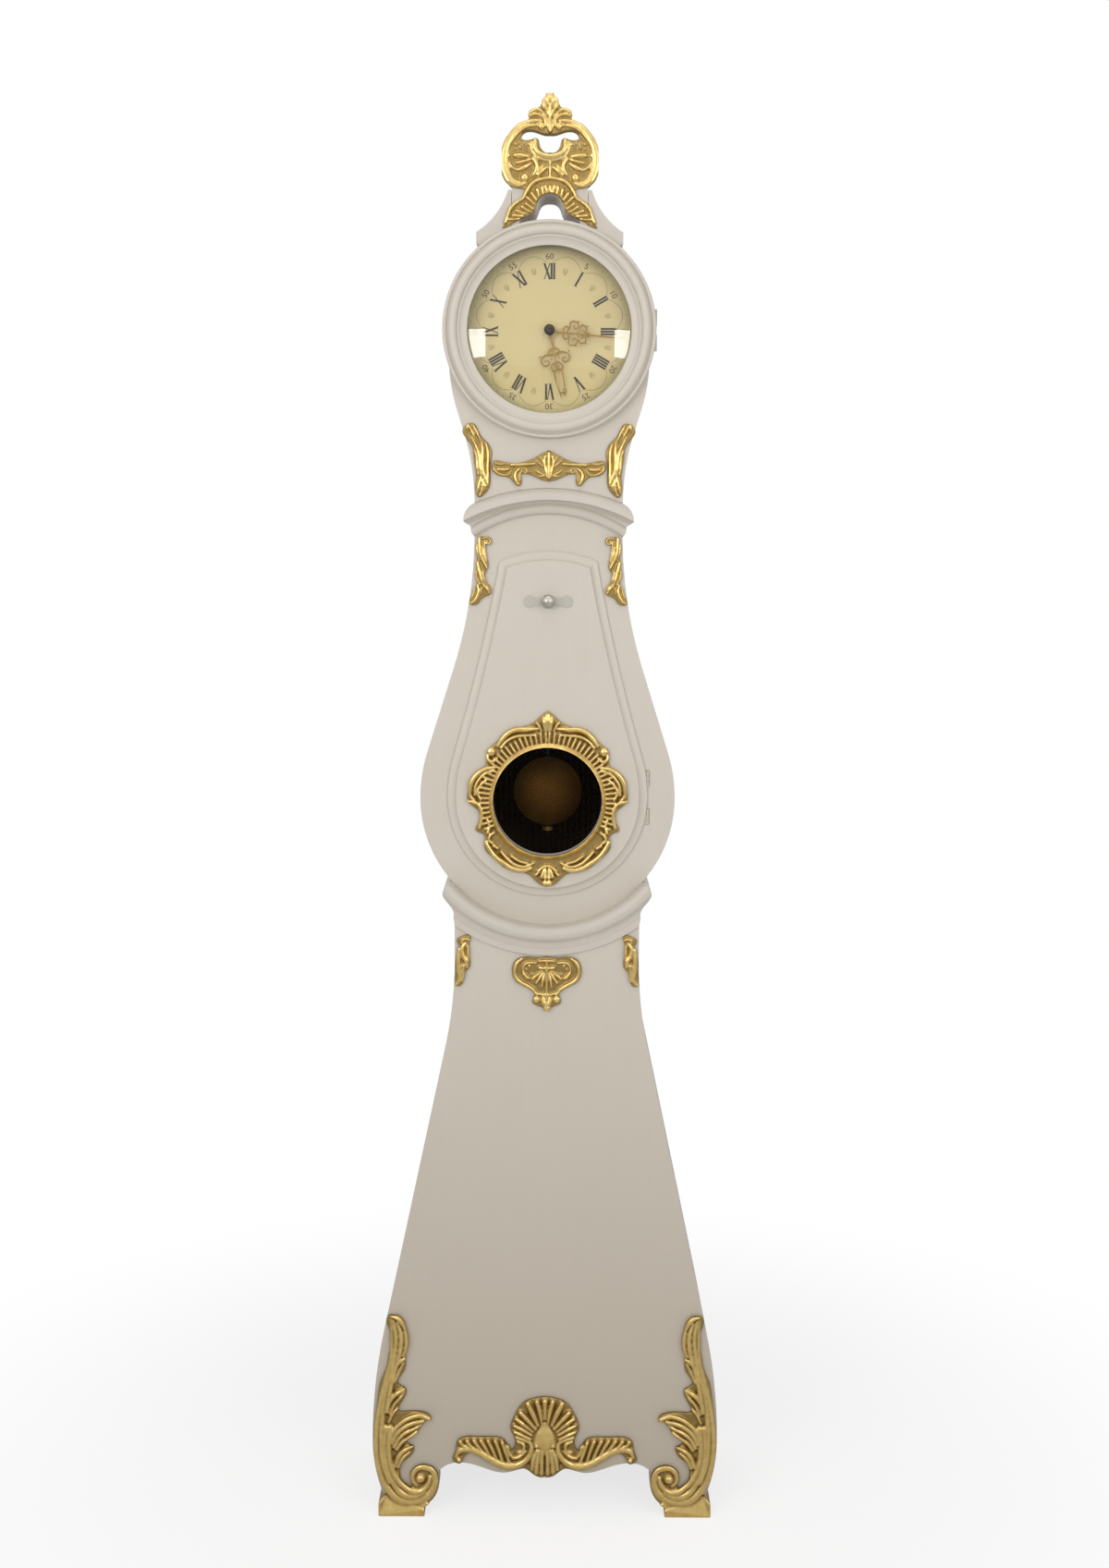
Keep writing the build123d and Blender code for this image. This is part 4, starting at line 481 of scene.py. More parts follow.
# Shell over a pear-shaped boss, with a fluted skirt, between two S-shaped leaf stems.
apronSettings = {
    "node": "apron_shell", "ground": -127.0, "relief": 6.8, "grain": 1.15, "mirrored": True,
    "thicken": 1.6, "hollow": 0.6,
    "strokes": [
        [(0, 206, 3.5), (0, 194, 2.5), (0, 174, 1.5)], [(-13.5, 206, 3), (-9, 189.5, 3), (-5.5, 167, 1.5)],
        [(-29.5, 202, 3), (-21, 185, 3.5), (-12, 162.5, 2)],
        [(-41.5, 186, 3), (-31.5, 175, 3), (-16, 156, 2)],
        [(-49, 174.5, 2.5), (-38, 166, 3), (-20.5, 150.5, 1.5)],
        [(-51.5, 162, 2.5), (-40, 156, 2.5), (-23, 144.5, 1.5)],
        [(-51.5, 151, 2.5), (-41, 146, 2.5), (-25, 137, 1.5)],
        [(-48.5, 140.5, 2), (-37.5, 137, 2), (-27, 131, 1.5)],
        [(0, 160.5, 5), (0, 147, 10), (0, 129, 13), (0, 121, 9.5)], [(-14, 125.5, 3)], [(0, 127, 3.5)],
        [(-4, 117.5, 2.5), (-5, 97.5, 3), (-5, 77, 3)],
        [(-9, 117.5, 2.5), (-13, 97.5, 3), (-14.5, 78.5, 3)],
        [(-13.5, 117.5, 2), (-20, 99.5, 3), (-22, 84, 2.5)], [(-147.5, 100, 3.5)],
        [(-152.5, 106.5, 2), (-146.5, 116, 3.5), (-134, 119.5, 4), (-117, 115.5, 4.5), (-97.5, 104, 4.5),
         (-78.5, 93, 4.5), (-59, 88.5, 4.5), (-42, 93, 4), (-29, 104, 3.5), (-23, 117.5, 3),
         (-25, 130, 2), (-32.5, 139, 1.5)],
        [(-46.5, 133.5, 2), (-36.5, 128, 2.5), (-37.5, 117.5, 2), (-46, 113, 1.5)],
        [(-55, 103, 2), (-44, 106.5, 2.5), (-33.5, 115.5, 2)],
        [(-145.5, 133.5, 3), (-141.5, 127, 2.5), (-134, 123.5, 2)],
        [(-134, 134.5, 2.5), (-128.5, 126.5, 2.5), (-120, 119.5, 2)],
        [(-122, 135, 2.5), (-115.5, 125.5, 2.5), (-106, 113, 2)],
        [(-110, 135, 2.5), (-103, 123.5, 2.5), (-94.5, 106.5, 2)],
        [(-97.5, 134.5, 2.5), (-91, 121, 2.5), (-82.5, 99.5, 2)],
        [(-85, 134, 2.5), (-79.5, 120, 2.5), (-72, 95, 2)],
        [(-73, 131.5, 2.5), (-68.5, 117.5, 2.5), (-61, 95, 2)],
        [(-63.5, 124.5, 2), (-61, 113, 2), (-55, 104, 2)],
    ],
}
carve("apronShell", apronSettings)


# Small shell between two C-scrolls, with a cup and three pearls below.
cartoucheSettings = {
    "node": "base_cartouche", "ground": -126.0, "relief": 4.8, "mirrored": True,
    "strokes": [
        [(-41.5, 981, 2), (-49.5, 974, 2.5), (-53.5, 962, 2.5), (-51.5, 950.5, 2.5), (-44.5, 942, 2.5),
         (-32.5, 935.5, 2.5), (-22.5, 928, 2), (-16, 920, 2)],
        [(-18.5, 973.5, 1.5), (-30, 974.5, 2), (-37, 970.5, 1.5), (-40, 962, 1.5), (-37, 954, 2),
         (-29.5, 948, 2)],
        [(-29, 968.5, 2)], [(-34, 962.5, 1.5)], [(-25, 954.5, 1.5)], [(-34, 948.5, 2)],
        [(-13.5, 977, 1.5), (0, 978, 2), (0, 978, 2)], [(-12, 966, 2.5), (-6, 965, 2), (0, 965, 2)],
        [(0, 955, 1.5), (0, 942.5, 2), (0, 931, 2)], [(-3, 956, 1), (-6.5, 944, 2), (-8, 934, 2)],
        [(-5.5, 957, 1), (-12.5, 947.5, 2), (-17.5, 940, 2)],
        [(-8.5, 959, 1), (-17, 953, 2), (-23.5, 947, 2)],
        [(-7, 919.5, 2), (0, 920, 2)], [(-5.5, 914.5, 2.5), (-4.5, 906.5, 3.5), (0, 903, 3.5)],
        [(-17, 911.5, 4.5)],
        [(0.5, 897, 4.5)], [(-23, 930, 2), (-17.5, 922.5, 2), (-10.5, 921, 1.5)],
    ],
}
carve("bellyCartouche", cartoucheSettings)


# Twisted leaf under each end of the lower moulding.
dropSettings = {
    "node": "base_drop_left", "twin": "base_drop_right", "twinName": "rightDrop",
    "ground": -126.0, "relief": 4.8,
    "strokes": [
        [(-130, 1013, 2), (-135, 1014.5, 2), (-140, 1013, 2), (-142, 1007, 1.5)],
        [(-135.5, 1007, 2), (-140.5, 999.5, 2.5), (-140.5, 987.5, 3), (-135, 977, 3), (-133, 966.5, 2)],
        [(-132, 1002, 1.5), (-131.5, 989, 2), (-131.5, 977, 1.5)],
        [(-146.5, 996.5, 2), (-147.5, 978.5, 3), (-146.5, 962, 3.5), (-145, 948.5, 3), (-149, 938.5, 2),
         (-153, 935.5, 1.5)],
        [(-139.5, 969, 2), (-139.5, 954.5, 2), (-141, 943, 1.5)],
    ],
}
carve("leftDrop", dropSettings)


# Leaf down each side above the door.
waistLeafSettings = {
    "node": "waist_leaf_left", "twin": "waist_leaf_right", "twinName": "rightWaistLeaf",
    "ground": -104.0, "relief": 4.8, "grain": 0.8, "thicken": 0.95,
    "strokes": [
        [(-108, 1677.5, 2), (-101, 1678.5, 2), (-95.8, 1674.5, 1.9), (-97, 1668.5, 1.7),
         (-101.5, 1669, 1.4), (-101, 1673, 1.2)],
        [(-118, 1668, 1.4), (-117, 1655, 1.6), (-113.5, 1642, 1.2)],
        [(-108.5, 1664, 1.3), (-106, 1650, 1.6), (-101, 1637, 1.1)],
        [(-119.5, 1625, 1.3), (-117.5, 1612, 1.6), (-112, 1602, 1.2)],
        [(-108.5, 1624, 1.3), (-105, 1612, 1.6), (-102, 1603, 1.1)],
        [(-121, 1596, 1.4), (-123.5, 1585, 1.6), (-127, 1577, 1.1)],
        [(-112, 1592, 1.4), (-114.5, 1581, 1.5), (-121, 1573, 1.1)],
        [(-113.5, 1679, 2.5), (-113, 1665, 3.5), (-111.5, 1650.5, 3.5), (-106.5, 1639, 2.5),
         (-101, 1629, 2)],
        [(-105, 1673, 1.5), (-104, 1656, 1.5), (-101, 1640.5, 1.5)],
        [(-116.5, 1638.5, 3), (-113.5, 1624.5, 4), (-110, 1610.5, 4), (-106.5, 1601.5, 2.5),
         (-102, 1596, 2.5), (-97, 1588, 1.5)],
        [(-116.5, 1601.5, 2.5), (-115, 1590, 3), (-119.5, 1578.5, 3), (-127.5, 1570.5, 1.5)],
        [(-109.5, 1595.5, 2.5), (-109.5, 1588, 1.5)], [(-100.5, 1600, 1.5), (-98, 1593, 2)],
    ],
}
carve("leftWaistLeaf", waistLeafSettings)


# Long fluted leaf down each side of the hood's neck.
hoodLeafSettings = {
    "node": "hood_leaf_left", "twin": "hood_leaf_right", "twinName": "rightHoodLeaf",
    "ground": -116.0, "relief": 4.8,
    "strokes": [
        [(-132, 1861, 1), (-132.5, 1855.5, 2), (-132.5, 1850, 1)],
        [(-130, 1860, 1), (-126.5, 1853, 1.5), (-122.5, 1844.5, 2), (-119.5, 1838, 1)],
        [(-122.5, 1860, 1), (-119, 1852, 2), (-115, 1843.5, 1.5), (-111, 1835, 1)],
        [(-126, 1840.5, 1), (-120.5, 1831, 1.5), (-116, 1821, 2), (-113, 1809.5, 2.5), (-112, 1798, 2.5),
         (-111, 1789, 2.5), (-110, 1779.5, 2)],
        [(-109, 1834, 1), (-108, 1823, 2), (-107.5, 1811.5, 2), (-108, 1798, 2), (-107, 1787, 2),
         (-104, 1776.5, 2), (-99.5, 1766, 2)],
        [(-102.5, 1831.5, 1), (-99.5, 1819, 2), (-99, 1806, 2), (-99.5, 1791.5, 2), (-99, 1777.5, 2),
         (-99.5, 1763.5, 1.5)],
        [(-121, 1819, 1), (-117.5, 1806, 1), (-116.5, 1791.5, 1.5), (-115, 1779.5, 1)],
        [(-109.5, 1779.5, 1.5), (-112, 1770, 2), (-114.5, 1758.5, 2), (-117, 1750, 1)],
        [(-107.5, 1772.5, 1.5), (-107, 1763.5, 2), (-109, 1755, 1.5), (-112.5, 1746, 1)],
        [(-105.5, 1770, 1), (-103.5, 1762.5, 1.5), (-105, 1755, 1)],
    ],
}
carve("leftHoodLeaf", hoodLeafSettings)


# Shell with leafy stems across the hood's neck.
garlandSettings = {
    "node": "hood_garland", "ground": -116.0, "relief": 4.8, "grain": 0.8, "mirrored": True, "thicken": 1.1,
    "strokes": [
        [(0, 1815, 3), (0, 1800, 3), (0, 1787, 3), (0, 1775, 2.5)],
        [(-6, 1811, 2), (-7, 1800, 2), (-5, 1787, 2.5), (-3.5, 1777, 2)],
        [(-13.5, 1809, 1.5), (-9.5, 1801.5, 1.5), (-7, 1796, 1)],
        [(-20.5, 1803.5, 1.5), (-15.5, 1798.5, 1.5), (-9.5, 1794, 1)],
        [(-20.5, 1787, 1), (-15.5, 1784, 2), (-9.5, 1781, 1)], [(-13, 1777.5, 1.5), (-7.5, 1779, 1.5)],
        [(-24, 1805.5, 1)], [(-30, 1785, 1.5)], [(-35.5, 1787.5, 1.5)],
        [(-23, 1798, 2), (-35.5, 1797, 2.5), (-49, 1796.5, 2.5), (-60.5, 1796, 2.5)],
        [(-88.5, 1799.5, 1), (-79.5, 1797, 1.5), (-70, 1798, 1), (-59.5, 1796, 1)],
        [(-90.5, 1793, 1.5), (-87, 1786, 2), (-79.5, 1781.5, 2), (-70, 1780, 1.5), (-64.5, 1781.5, 1),
         (-60.5, 1787, 1)],
        [(-82.5, 1789.5, 2.5), (-73.5, 1788.5, 3), (-66, 1789.5, 2.5)],
        [(-46, 1790.5, 1.5), (-52, 1786.5, 2.5), (-55, 1779, 3), (-53.5, 1771, 3), (-49.5, 1764.5, 2)],
        [(-44, 1786.5, 1), (-46.5, 1779.5, 1), (-46.5, 1770, 1)],
        [(-39.5, 1790.5, 1), (-35.5, 1786.5, 2), (-39, 1781.5, 1)],
    ],
}
carve("hoodGarland", garlandSettings)


# Pierced C-scroll crest with a bud on top, standing on a gadrooned arch.
crestSettings = {
    "node": "crest", "ground": -114.5, "relief": 5.3, "grain": 1.1, "mirrored": True,
    "strokes": [
        [(-0.5, 2376, 5), (-0.5, 2371, 7), (-0.5, 2365.5, 5.5), (-0.5, 2360, 3)],
        [(-7.5, 2373, 1.5), (-10.5, 2368.5, 2), (-9, 2362.5, 2.5), (-5.5, 2357, 1.5)],
        [(-13.5, 2361.5, 1.5), (-10, 2359, 2.5), (-5.5, 2353, 2), (-2.5, 2346, 1.5)],
        [(-0.5, 2360, 2.5), (-0.5, 2344.5, 2), (0, 2330.5, 2.5), (0, 2321.5, 2.5)],
        [(-33.5, 2346, 1.5), (-30.5, 2351, 2.5), (-23.5, 2354.5, 2), (-15.5, 2353, 2), (-8, 2344.5, 1.5),
         (-4.5, 2333, 1.5), (-3, 2323.5, 1.5)],
        [(-32.5, 2344.5, 1.5), (-23.5, 2347.5, 2), (-15, 2345, 2), (-9, 2339, 1.5), (-6, 2330.5, 1.5)],
        [(-14, 2329, 4.5)],
        [(-16, 2337.5, 2), (-26.5, 2337, 2.5), (-38, 2334, 3), (-49.5, 2327, 4), (-60.5, 2315.5, 4),
         (-68, 2302.5, 4.5), (-73, 2285.5, 4.5), (-74, 2270, 4.5), (-71, 2256, 4.5), (-65, 2245, 4.5),
         (-56.5, 2239, 3.5), (-48, 2238, 2.5), (-40.5, 2241, 2)],
        [(-16, 2331, 1.5), (-26.5, 2330, 1.5), (-38, 2327.5, 2), (-48, 2321.5, 2), (-57, 2312, 2),
         (-62.5, 2302.5, 1.5), (-67, 2288, 1.5), (-68, 2271.5, 1.5), (-64.5, 2256, 2), (-57.5, 2245, 2),
         (-48, 2241.5, 1.5)],
        [(-40.5, 2249.5, 5)], [(-34, 2282.5, 1.5), (-46.5, 2283.5, 3), (-56.5, 2283.5, 2.5)],
        [(-33.5, 2277, 1.5), (-44.5, 2274, 2), (-54.5, 2272.5, 1.5)],
        [(-31, 2271, 1.5), (-40.5, 2265.5, 3), (-51, 2261.5, 2)], [(-55.5, 2301, 2)], [(-48, 2296, 2)],
        [(-56, 2294, 1.5)], [(-41.5, 2302.5, 1.5)], [(-49.5, 2303, 1.5)], [(-35.5, 2301, 1.5)],
        [(-65, 2272, 1.5), (-61, 2265.5, 2), (-55, 2262, 1.5)], [(-65, 2283.5, 1.5)],
        [(-24, 2307, 3), (-24, 2296.5, 3.5), (-18.5, 2288, 3.5), (-10, 2283.5, 3.5), (0, 2282, 3.5)],
        [(-30.5, 2305, 1.5), (-30.5, 2294, 1.5), (-24.5, 2284, 1.5), (-16, 2278.5, 1.5), (-6, 2276, 1.5),
         (0, 2275.5, 1.5)],
        [(-27.5, 2278.5, 2.5), (-22, 2272, 3), (-21.5, 2263, 2.5), (-27, 2253.5, 1.5)],
        [(0, 2272.5, 1.5), (0, 2263, 2), (0, 2253, 1.5)],
        [(-5.5, 2265.5, 1.5), (-12.5, 2259.5, 2.5), (-19, 2253.5, 2)],
        [(-11.5, 2269, 1.5), (-16, 2263, 1.5), (-21.5, 2255, 1.5)],
        [(0, 2249, 2), (-11.5, 2247.5, 2), (-21.5, 2244.5, 2.5), (-30.5, 2238, 2.5), (-37.5, 2228, 2.5),
         (-42.5, 2217.5, 2), (-51, 2212, 2), (-61, 2203.5, 2.5), (-67, 2191.5, 2), (-71, 2179.5, 2)],
        [(0.5, 2227, 1.5), (0, 2236.5, 2)], [(-5, 2226, 1.5), (-7, 2237, 2)],
        [(-11, 2224, 1.5), (-13, 2235, 2)],
        [(-17.5, 2219.5, 1.5), (-20.5, 2230.5, 2.5)], [(-22, 2214.5, 2), (-29, 2224.5, 2.5)],
        [(-25.5, 2208, 1.5), (-35, 2217.5, 2)], [(-27.5, 2201, 1.5), (-38.5, 2209, 2)],
        [(-33, 2196.5, 1.5), (-45, 2204, 2)], [(-39.5, 2193, 1.5), (-53.5, 2198, 2)],
        [(-44, 2189, 1.5), (-59, 2190.5, 2)], [(-49, 2184.5, 1), (-64.5, 2184, 1.5)],
    ],
}
carve("crestCarving", crestSettings)


# Wreath of scrolls around the window, with a palmette above and a shell below.
rosetteSettings = {
    "node": "door_rosette", "ground": -117.0, "relief": 5.6, "grain": 1.1, "mirrored": True,
    "softening": 1, "thicken": 1.3, "hollow": 0.5,
    "keepWithin": (0.0, 1244.3, 98.0),  # x, z and radius of the plain lip round the window
    "reedFrom": 99.5, "reedTo": 113.5, "reedPitch": 4.5, "reedRadius": 1.7,
    "reedStart": -24.0,
    "strokes": [
        [(2, 1362.5, 1.5), (2, 1379.5, 2.5), (2, 1389, 2)],
        [(-4.5, 1362.5, 1.5), (-6.5, 1376.5, 2.5), (-7, 1385, 1.5)],
        [(-10.5, 1362, 1.5), (-15, 1371.5, 2), (-19.5, 1376.5, 1.5)],
        [(-82.5, 1337.5, 2.5), (-75, 1349, 3.5), (-63, 1360, 3.5), (-49.5, 1364.5, 3.5),
         (-36, 1364.5, 3.5), (-24.5, 1365.5, 2.5), (-16.5, 1365.5, 1.5)],
        [(-77, 1334, 2), (-67, 1345.5, 2), (-53.5, 1352.5, 2.5), (-38, 1354.5, 2), (-20.5, 1355.5, 1.5)],
        [(-93.5, 1327.5, 6)], [(-99.5, 1321.5, 2), (-98.5, 1315, 2.5), (-92, 1311, 2.5), (-84.5, 1316, 2)],
        [(-88.5, 1300.5, 2), (-102, 1299, 3), (-115.5, 1291, 3.5), (-124.5, 1279.5, 3.5),
         (-128, 1266, 3), (-128, 1254, 2.5), (-122, 1246.5, 2)],
        [(-92, 1295, 2), (-104, 1290.5, 2), (-113.5, 1281, 2), (-119.5, 1269.5, 2), (-120.5, 1256, 2)],
        [(-101.5, 1280.5, 2), (-111, 1271.5, 2), (-115.5, 1258, 2), (-111, 1248, 2)],
        [(-134.5, 1245, 1), (-125.5, 1243.5, 2), (-115.5, 1240, 2.5), (-109.5, 1228.5, 2.5),
         (-109.5, 1214.5, 2.5), (-112.5, 1200.5, 2.5)],
        [(-99.5, 1213.5, 2), (-96.5, 1202.5, 2), (-99, 1192, 2.5)],
        [(-88.5, 1192.5, 2), (-95, 1187, 2), (-96.5, 1179, 2), (-92, 1175, 2)],
        [(-102.5, 1177, 2.5), (-95, 1163.5, 3), (-84, 1150, 3.5), (-70.5, 1140.5, 3.5), (-57, 1132, 3.5),
         (-39, 1129, 3), (-27.5, 1132.5, 2.5)],
        [(-88.5, 1170.5, 2.5), (-82.5, 1166.5, 2.5)],
        [(-76.5, 1160.5, 2), (-66.5, 1149, 2.5), (-55, 1139.5, 2.5), (-39, 1135, 2), (-27.5, 1138.5, 2),
         (-23, 1141.5, 1.5)],
        [(-59, 1153, 2), (-47, 1145, 2), (-33.5, 1141, 2)],
        [(-15.5, 1127.5, 2), (-6, 1135, 2), (3, 1137, 2)],
        [(3, 1131, 2), (3, 1116.5, 3)], [(-5.5, 1129, 2), (-9.5, 1118, 2.5)],
        [(-12.5, 1127, 1.5), (-19, 1121, 2)],
        [(3.5, 1107.5, 4.5)],
    ],
}


def addReeds(settings):
    x, z, _ = settings["keepWithin"]
    angle = settings["reedStart"]
    while angle <= 90:  # the mirror gives the other half
        turn = math.radians(angle)
        settings["strokes"].append([
            (x - math.cos(turn) * reach, z + math.sin(turn) * reach, settings["reedRadius"])
            for reach in (settings["reedFrom"], settings["reedTo"])])
        angle += settings["reedPitch"]


addReeds(rosetteSettings)
carve("doorRosette", rosetteSettings)


# A painted line is a very thin bar laid on the dial; points are (x, z) about the dial's centre in mm.
def paintBar(bm, start, end, startWidth, endWidth):
    x, z = dialSettings["centre"]
    along = (end - start).normalized()
    side = Vector((-along.y, along.x))
    corners = [start + side * startWidth / 2, start - side * startWidth / 2,
               end - side * endWidth / 2, end + side * endWidth / 2]
    front = dialSettings["face"] - dialSettings["ink"]
    face = bm.faces.new([bm.verts.new(Vector((x + c.x, front, z + c.y)) * mm) for c in corners])
    back = bmesh.ops.extrude_face_region(bm, geom=[face])["geom"]
    bmesh.ops.translate(bm, vec=(0, (dialSettings["ink"] - dialSettings["inkSunk"]) * mm, 0),
                        verts=[v for v in back if isinstance(v, bmesh.types.BMVert)])


# Roman numerals in shares of the height: (foot x, head x, weight) of each bar, then width and inset.
numeralBars = {
    "I": ([(0.0, 0.0, 0.13)], 0.17, 0.065),
    "V": ([(0.2, 0.0, 0.13), (0.2, 0.36, 0.06)], 0.45, 0.05),
    "X": ([(0.36, 0.0, 0.13), (0.0, 0.36, 0.06)], 0.45, 0.05),
}
romanHours = ["XII", "I", "II", "III", "IIII", "V", "VI", "VII", "VIII", "IX", "X", "XI"]


def paintNumerals():
    bm = bmesh.new()
    high = dialSettings["numeralHeight"]
    for hour, word in enumerate(romanHours):
        turn = Matrix.Rotation(-math.radians(30 * hour), 2)
        widths = [numeralBars[letter][1] * high for letter in word]
        x = -sum(widths) / 2
        for letter, width in zip(word, widths):
            for foot, head, weight in numeralBars[letter][0]:
                left = x + numeralBars[letter][2] * high
                low = Vector((left + foot * high, dialSettings["numeralRing"] - high / 2))
                top = Vector((left + head * high, dialSettings["numeralRing"] + high / 2))
                paintBar(bm, turn @ low, turn @ top, weight * high, weight * high)
                for end in (low, top):  # hairline serifs
                    reach = Vector((weight * high * dialSettings["serifReach"], 0))
                    paintBar(bm, turn @ (end - reach), turn @ (end + reach), dialSettings["serif"],
                             dialSettings["serif"])
            x += width
    return bm


def paintLine(bm, points, width):
    for start, end in zip(points, points[1:]):
        paintBar(bm, start, end, width, width)


def paintFineWork():
    bm = bmesh.new()
    steps = dialSettings["archSteps"]
    inner, outer, markWidth = dialSettings["minuteMark"]
    foot, tip, footWidth, tipWidth = dialSettings["pistil"]
    for half in range(12):
        middle = math.radians(30 * half + 15)
        arch = []
        for step in range(-steps, steps + 1):  # one arch from hour to hour
            angle = middle + math.radians(step * dialSettings["archStep"])
            rise = dialSettings["archRise"] * math.cos(step / steps * math.pi / 2)
            radius = dialSettings["archRing"] + rise
            arch.append(Vector((math.sin(angle), math.cos(angle))) * radius)
        paintLine(bm, arch, dialSettings["archLine"])
        turn = Matrix.Rotation(-middle, 2)
        at = Vector((0, dialSettings["halfHourRing"]))
        for side in (-1, 1):  # a little open tulip for the half hour
            leaf = [turn @ (at + Vector((x * side, z))) for x, z in dialSettings["tulip"]]
            paintLine(bm, leaf, dialSettings["tulipLine"])
        paintBar(bm, turn @ (at + Vector((0, foot))), turn @ (at + Vector((0, tip))), footWidth, tipWidth)
        for minute in range(1, 5):
            angle = math.radians(30 * half + 6 * minute)
            spot = Vector((math.sin(angle), math.cos(angle)))
            paintBar(bm, spot * inner, spot * outer, markWidth, markWidth)
    return bm


def paintMinutes():
    bm = bmesh.new()
    x, z = dialSettings["centre"]
    for hour in range(12):
        curve = bpy.data.curves.new("minuteFigure", "FONT")
        curve.body = str(hour * 5 or 60)
        curve.size = dialSettings["minuteSize"]
        curve.align_x, curve.align_y = "CENTER", "CENTER"
        curve.extrude = dialSettings["minuteDepth"]
        figure = bpy.data.objects.new("minuteFigure", curve)
        bpy.context.scene.collection.objects.link(figure)
        bpy.context.view_layer.update()
        mesh = bpy.data.meshes.new_from_object(figure)
        angle = math.radians(30 * hour)
        out = Vector((math.sin(angle), 0, math.cos(angle))) * dialSettings["minuteRing"]
        front = dialSettings["face"] - dialSettings["minuteLift"]
        place = (Matrix.Translation(Vector((x, front, z)) + out)
                 @ Matrix.Rotation(angle, 4, "Y") @ Matrix.Rotation(math.pi / 2, 4, "X"))
        mesh.transform(Matrix.Scale(mm, 4) @ place)
        bm.from_mesh(mesh)
        bpy.data.objects.remove(figure)
        bpy.data.curves.remove(curve)
        bpy.data.meshes.remove(mesh)
    return bm


def closeMesh(bm, name):
    bmesh.ops.recalc_face_normals(bm, faces=bm.faces[:])
    mesh = bpy.data.meshes.new(name)
    bm.to_mesh(mesh)
    bm.free()
    return mesh


print("dial")
asPiece("dialNumerals", closeMesh(paintNumerals(), "dialNumerals"), "case", dialInk)
asPiece("dialFineWork", closeMesh(paintFineWork(), "dialFineWork"), "case", paleInk)
asPiece("dialMinutes", closeMesh(paintMinutes(), "dialMinutes"), "case", dialInk)


# Pierced brass hands, drawn upright: across, out from the centre, radius in mm.
minuteHandSettings = {
    "node": "minute_hand", "turned": 95.4, "ground": -96.4, "relief": 1.3, "grain": 0.36, "thicken": 1.0,
    "clamped": (1,), "mirrored": True, "softening": 1,
    "strokes": [
        [(0, 0, 8)], [(0, 6, 2.6), (0, 14, 2), (0, 24, 1.6)],
        [(0, 24, 1.6), (0, 44, 1), (0, 64, 1.5), (0, 92, 1.1), (0, 121, 0.7)],
        [(0, 24, 1.4), (6, 22.5, 1.3), (10, 26, 1.2), (8, 31, 1.1), (4, 31, 1)],
        [(0, 28, 1.2), (9, 33, 1.2), (17, 33, 1.3), (19, 40, 1.3), (15, 46, 1.2), (9, 45, 1.1),
         (8, 40, 1), (12, 39, 1)],
        [(0, 44, 1.2), (5, 48, 1.2), (13, 50, 1.2), (14, 56, 1.2), (9, 60, 1.1), (5, 57, 1), (6, 53, 1)],
        [(0, 54, 1.1), (3.5, 60, 1.1), (0, 67, 1.2)], [(19, 45, 1.7)], [(14, 61, 1.4)],
    ],
}
hourHandSettings = {
    "node": "hour_hand", "turned": 167.6, "ground": -92.6, "relief": 1.3, "grain": 0.36, "thicken": 1.0,
    "clamped": (1,), "mirrored": True, "softening": 1,
    "strokes": [
        [(0, 0, 9)], [(0, 7, 2.8), (0, 18, 2), (0, 28, 1.6)], [(0, 28, 1.5), (0, 45, 1), (0, 62, 1.5)],
        [(0, 28, 1.3), (6, 29, 1.3), (9, 34, 1.2), (5, 38, 1.1), (0, 38, 1)],
        [(0, 38, 1.2), (8, 36, 1.2), (17, 37, 1.3), (23, 43, 1.3), (22, 50, 1.2), (15, 53, 1.2),
         (11, 49, 1.1), (13, 45, 1), (17, 46, 1)],
        [(0, 50, 1.2), (6, 53, 1.2), (9, 59, 1.2), (6, 64, 1.1), (0, 62, 1.2)], [(6, 44, 1.6)],
        [(24, 37, 1.6)],
        [(6, 63, 1.3), (6.5, 78, 1.1), (5, 94, 1), (3.5, 101, 0.9)],
        [(0, 100, 1), (3.5, 101, 0.9), (3.5, 106, 0.8)],
    ],
}
print("hands")
carve("minuteHand", minuteHandSettings, "gilt_brass")
carve("hourHand", hourHandSettings, "gilt_brass")


# The weight's cord: over the sheave, down to the weight on one side and to the ring on the other.
cordSettings = {
    "thickness": 2.6, "sheave": (0.0, -37.0, 1973.7), "reach": 28.0, "weightTop": 1640.5, "ringTop": 1417.5,
    "sides": 12, "steps": 24,
}


def cordPart(name, x, bottom=None):
    middleX, y, z = cordSettings["sheave"]
    bm = bmesh.new()
    lay = Matrix.Translation(((middleX + x) * mm, y * mm, z * mm))
    bmesh.ops.create_circle(bm, cap_ends=True, segments=cordSettings["sides"],
                            radius=cordSettings["thickness"] / 2 * mm, matrix=lay)
    drop = (bottom - z) / cordSettings["steps"] * mm if bottom else 0
    bmesh.ops.spin(bm, geom=bm.verts[:] + bm.edges[:] + bm.faces[:], angle=0 if bottom else math.pi,
                   steps=cordSettings["steps"], axis=(0, -1, 0), dvec=(0, 0, drop),
                   cent=(middleX * mm, y * mm, z * mm), use_duplicate=False)
    for face in bm.faces:
        face.smooth = len(face.verts) == 4
    return closeMesh(bm, name)


print("cord")
reach = cordSettings["reach"]
overSheave = asPiece("cordOverSheave", cordPart("cordOverSheave", reach), "case", finishes["line_cord"])
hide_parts("weight_line")
for name, body, x, bottom in (("cordToWeight", "weight_body", -reach, cordSettings["weightTop"]),
                              ("cordToRing", "line_ring_body", reach, cordSettings["ringTop"])):
    mesh = cordPart(name, x, bottom)
    mesh.materials.append(finishes["line_cord"])
    piece = bpy.data.objects.new(name, mesh)
    bpy.context.scene.collection.objects.link(piece)
    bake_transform(piece)


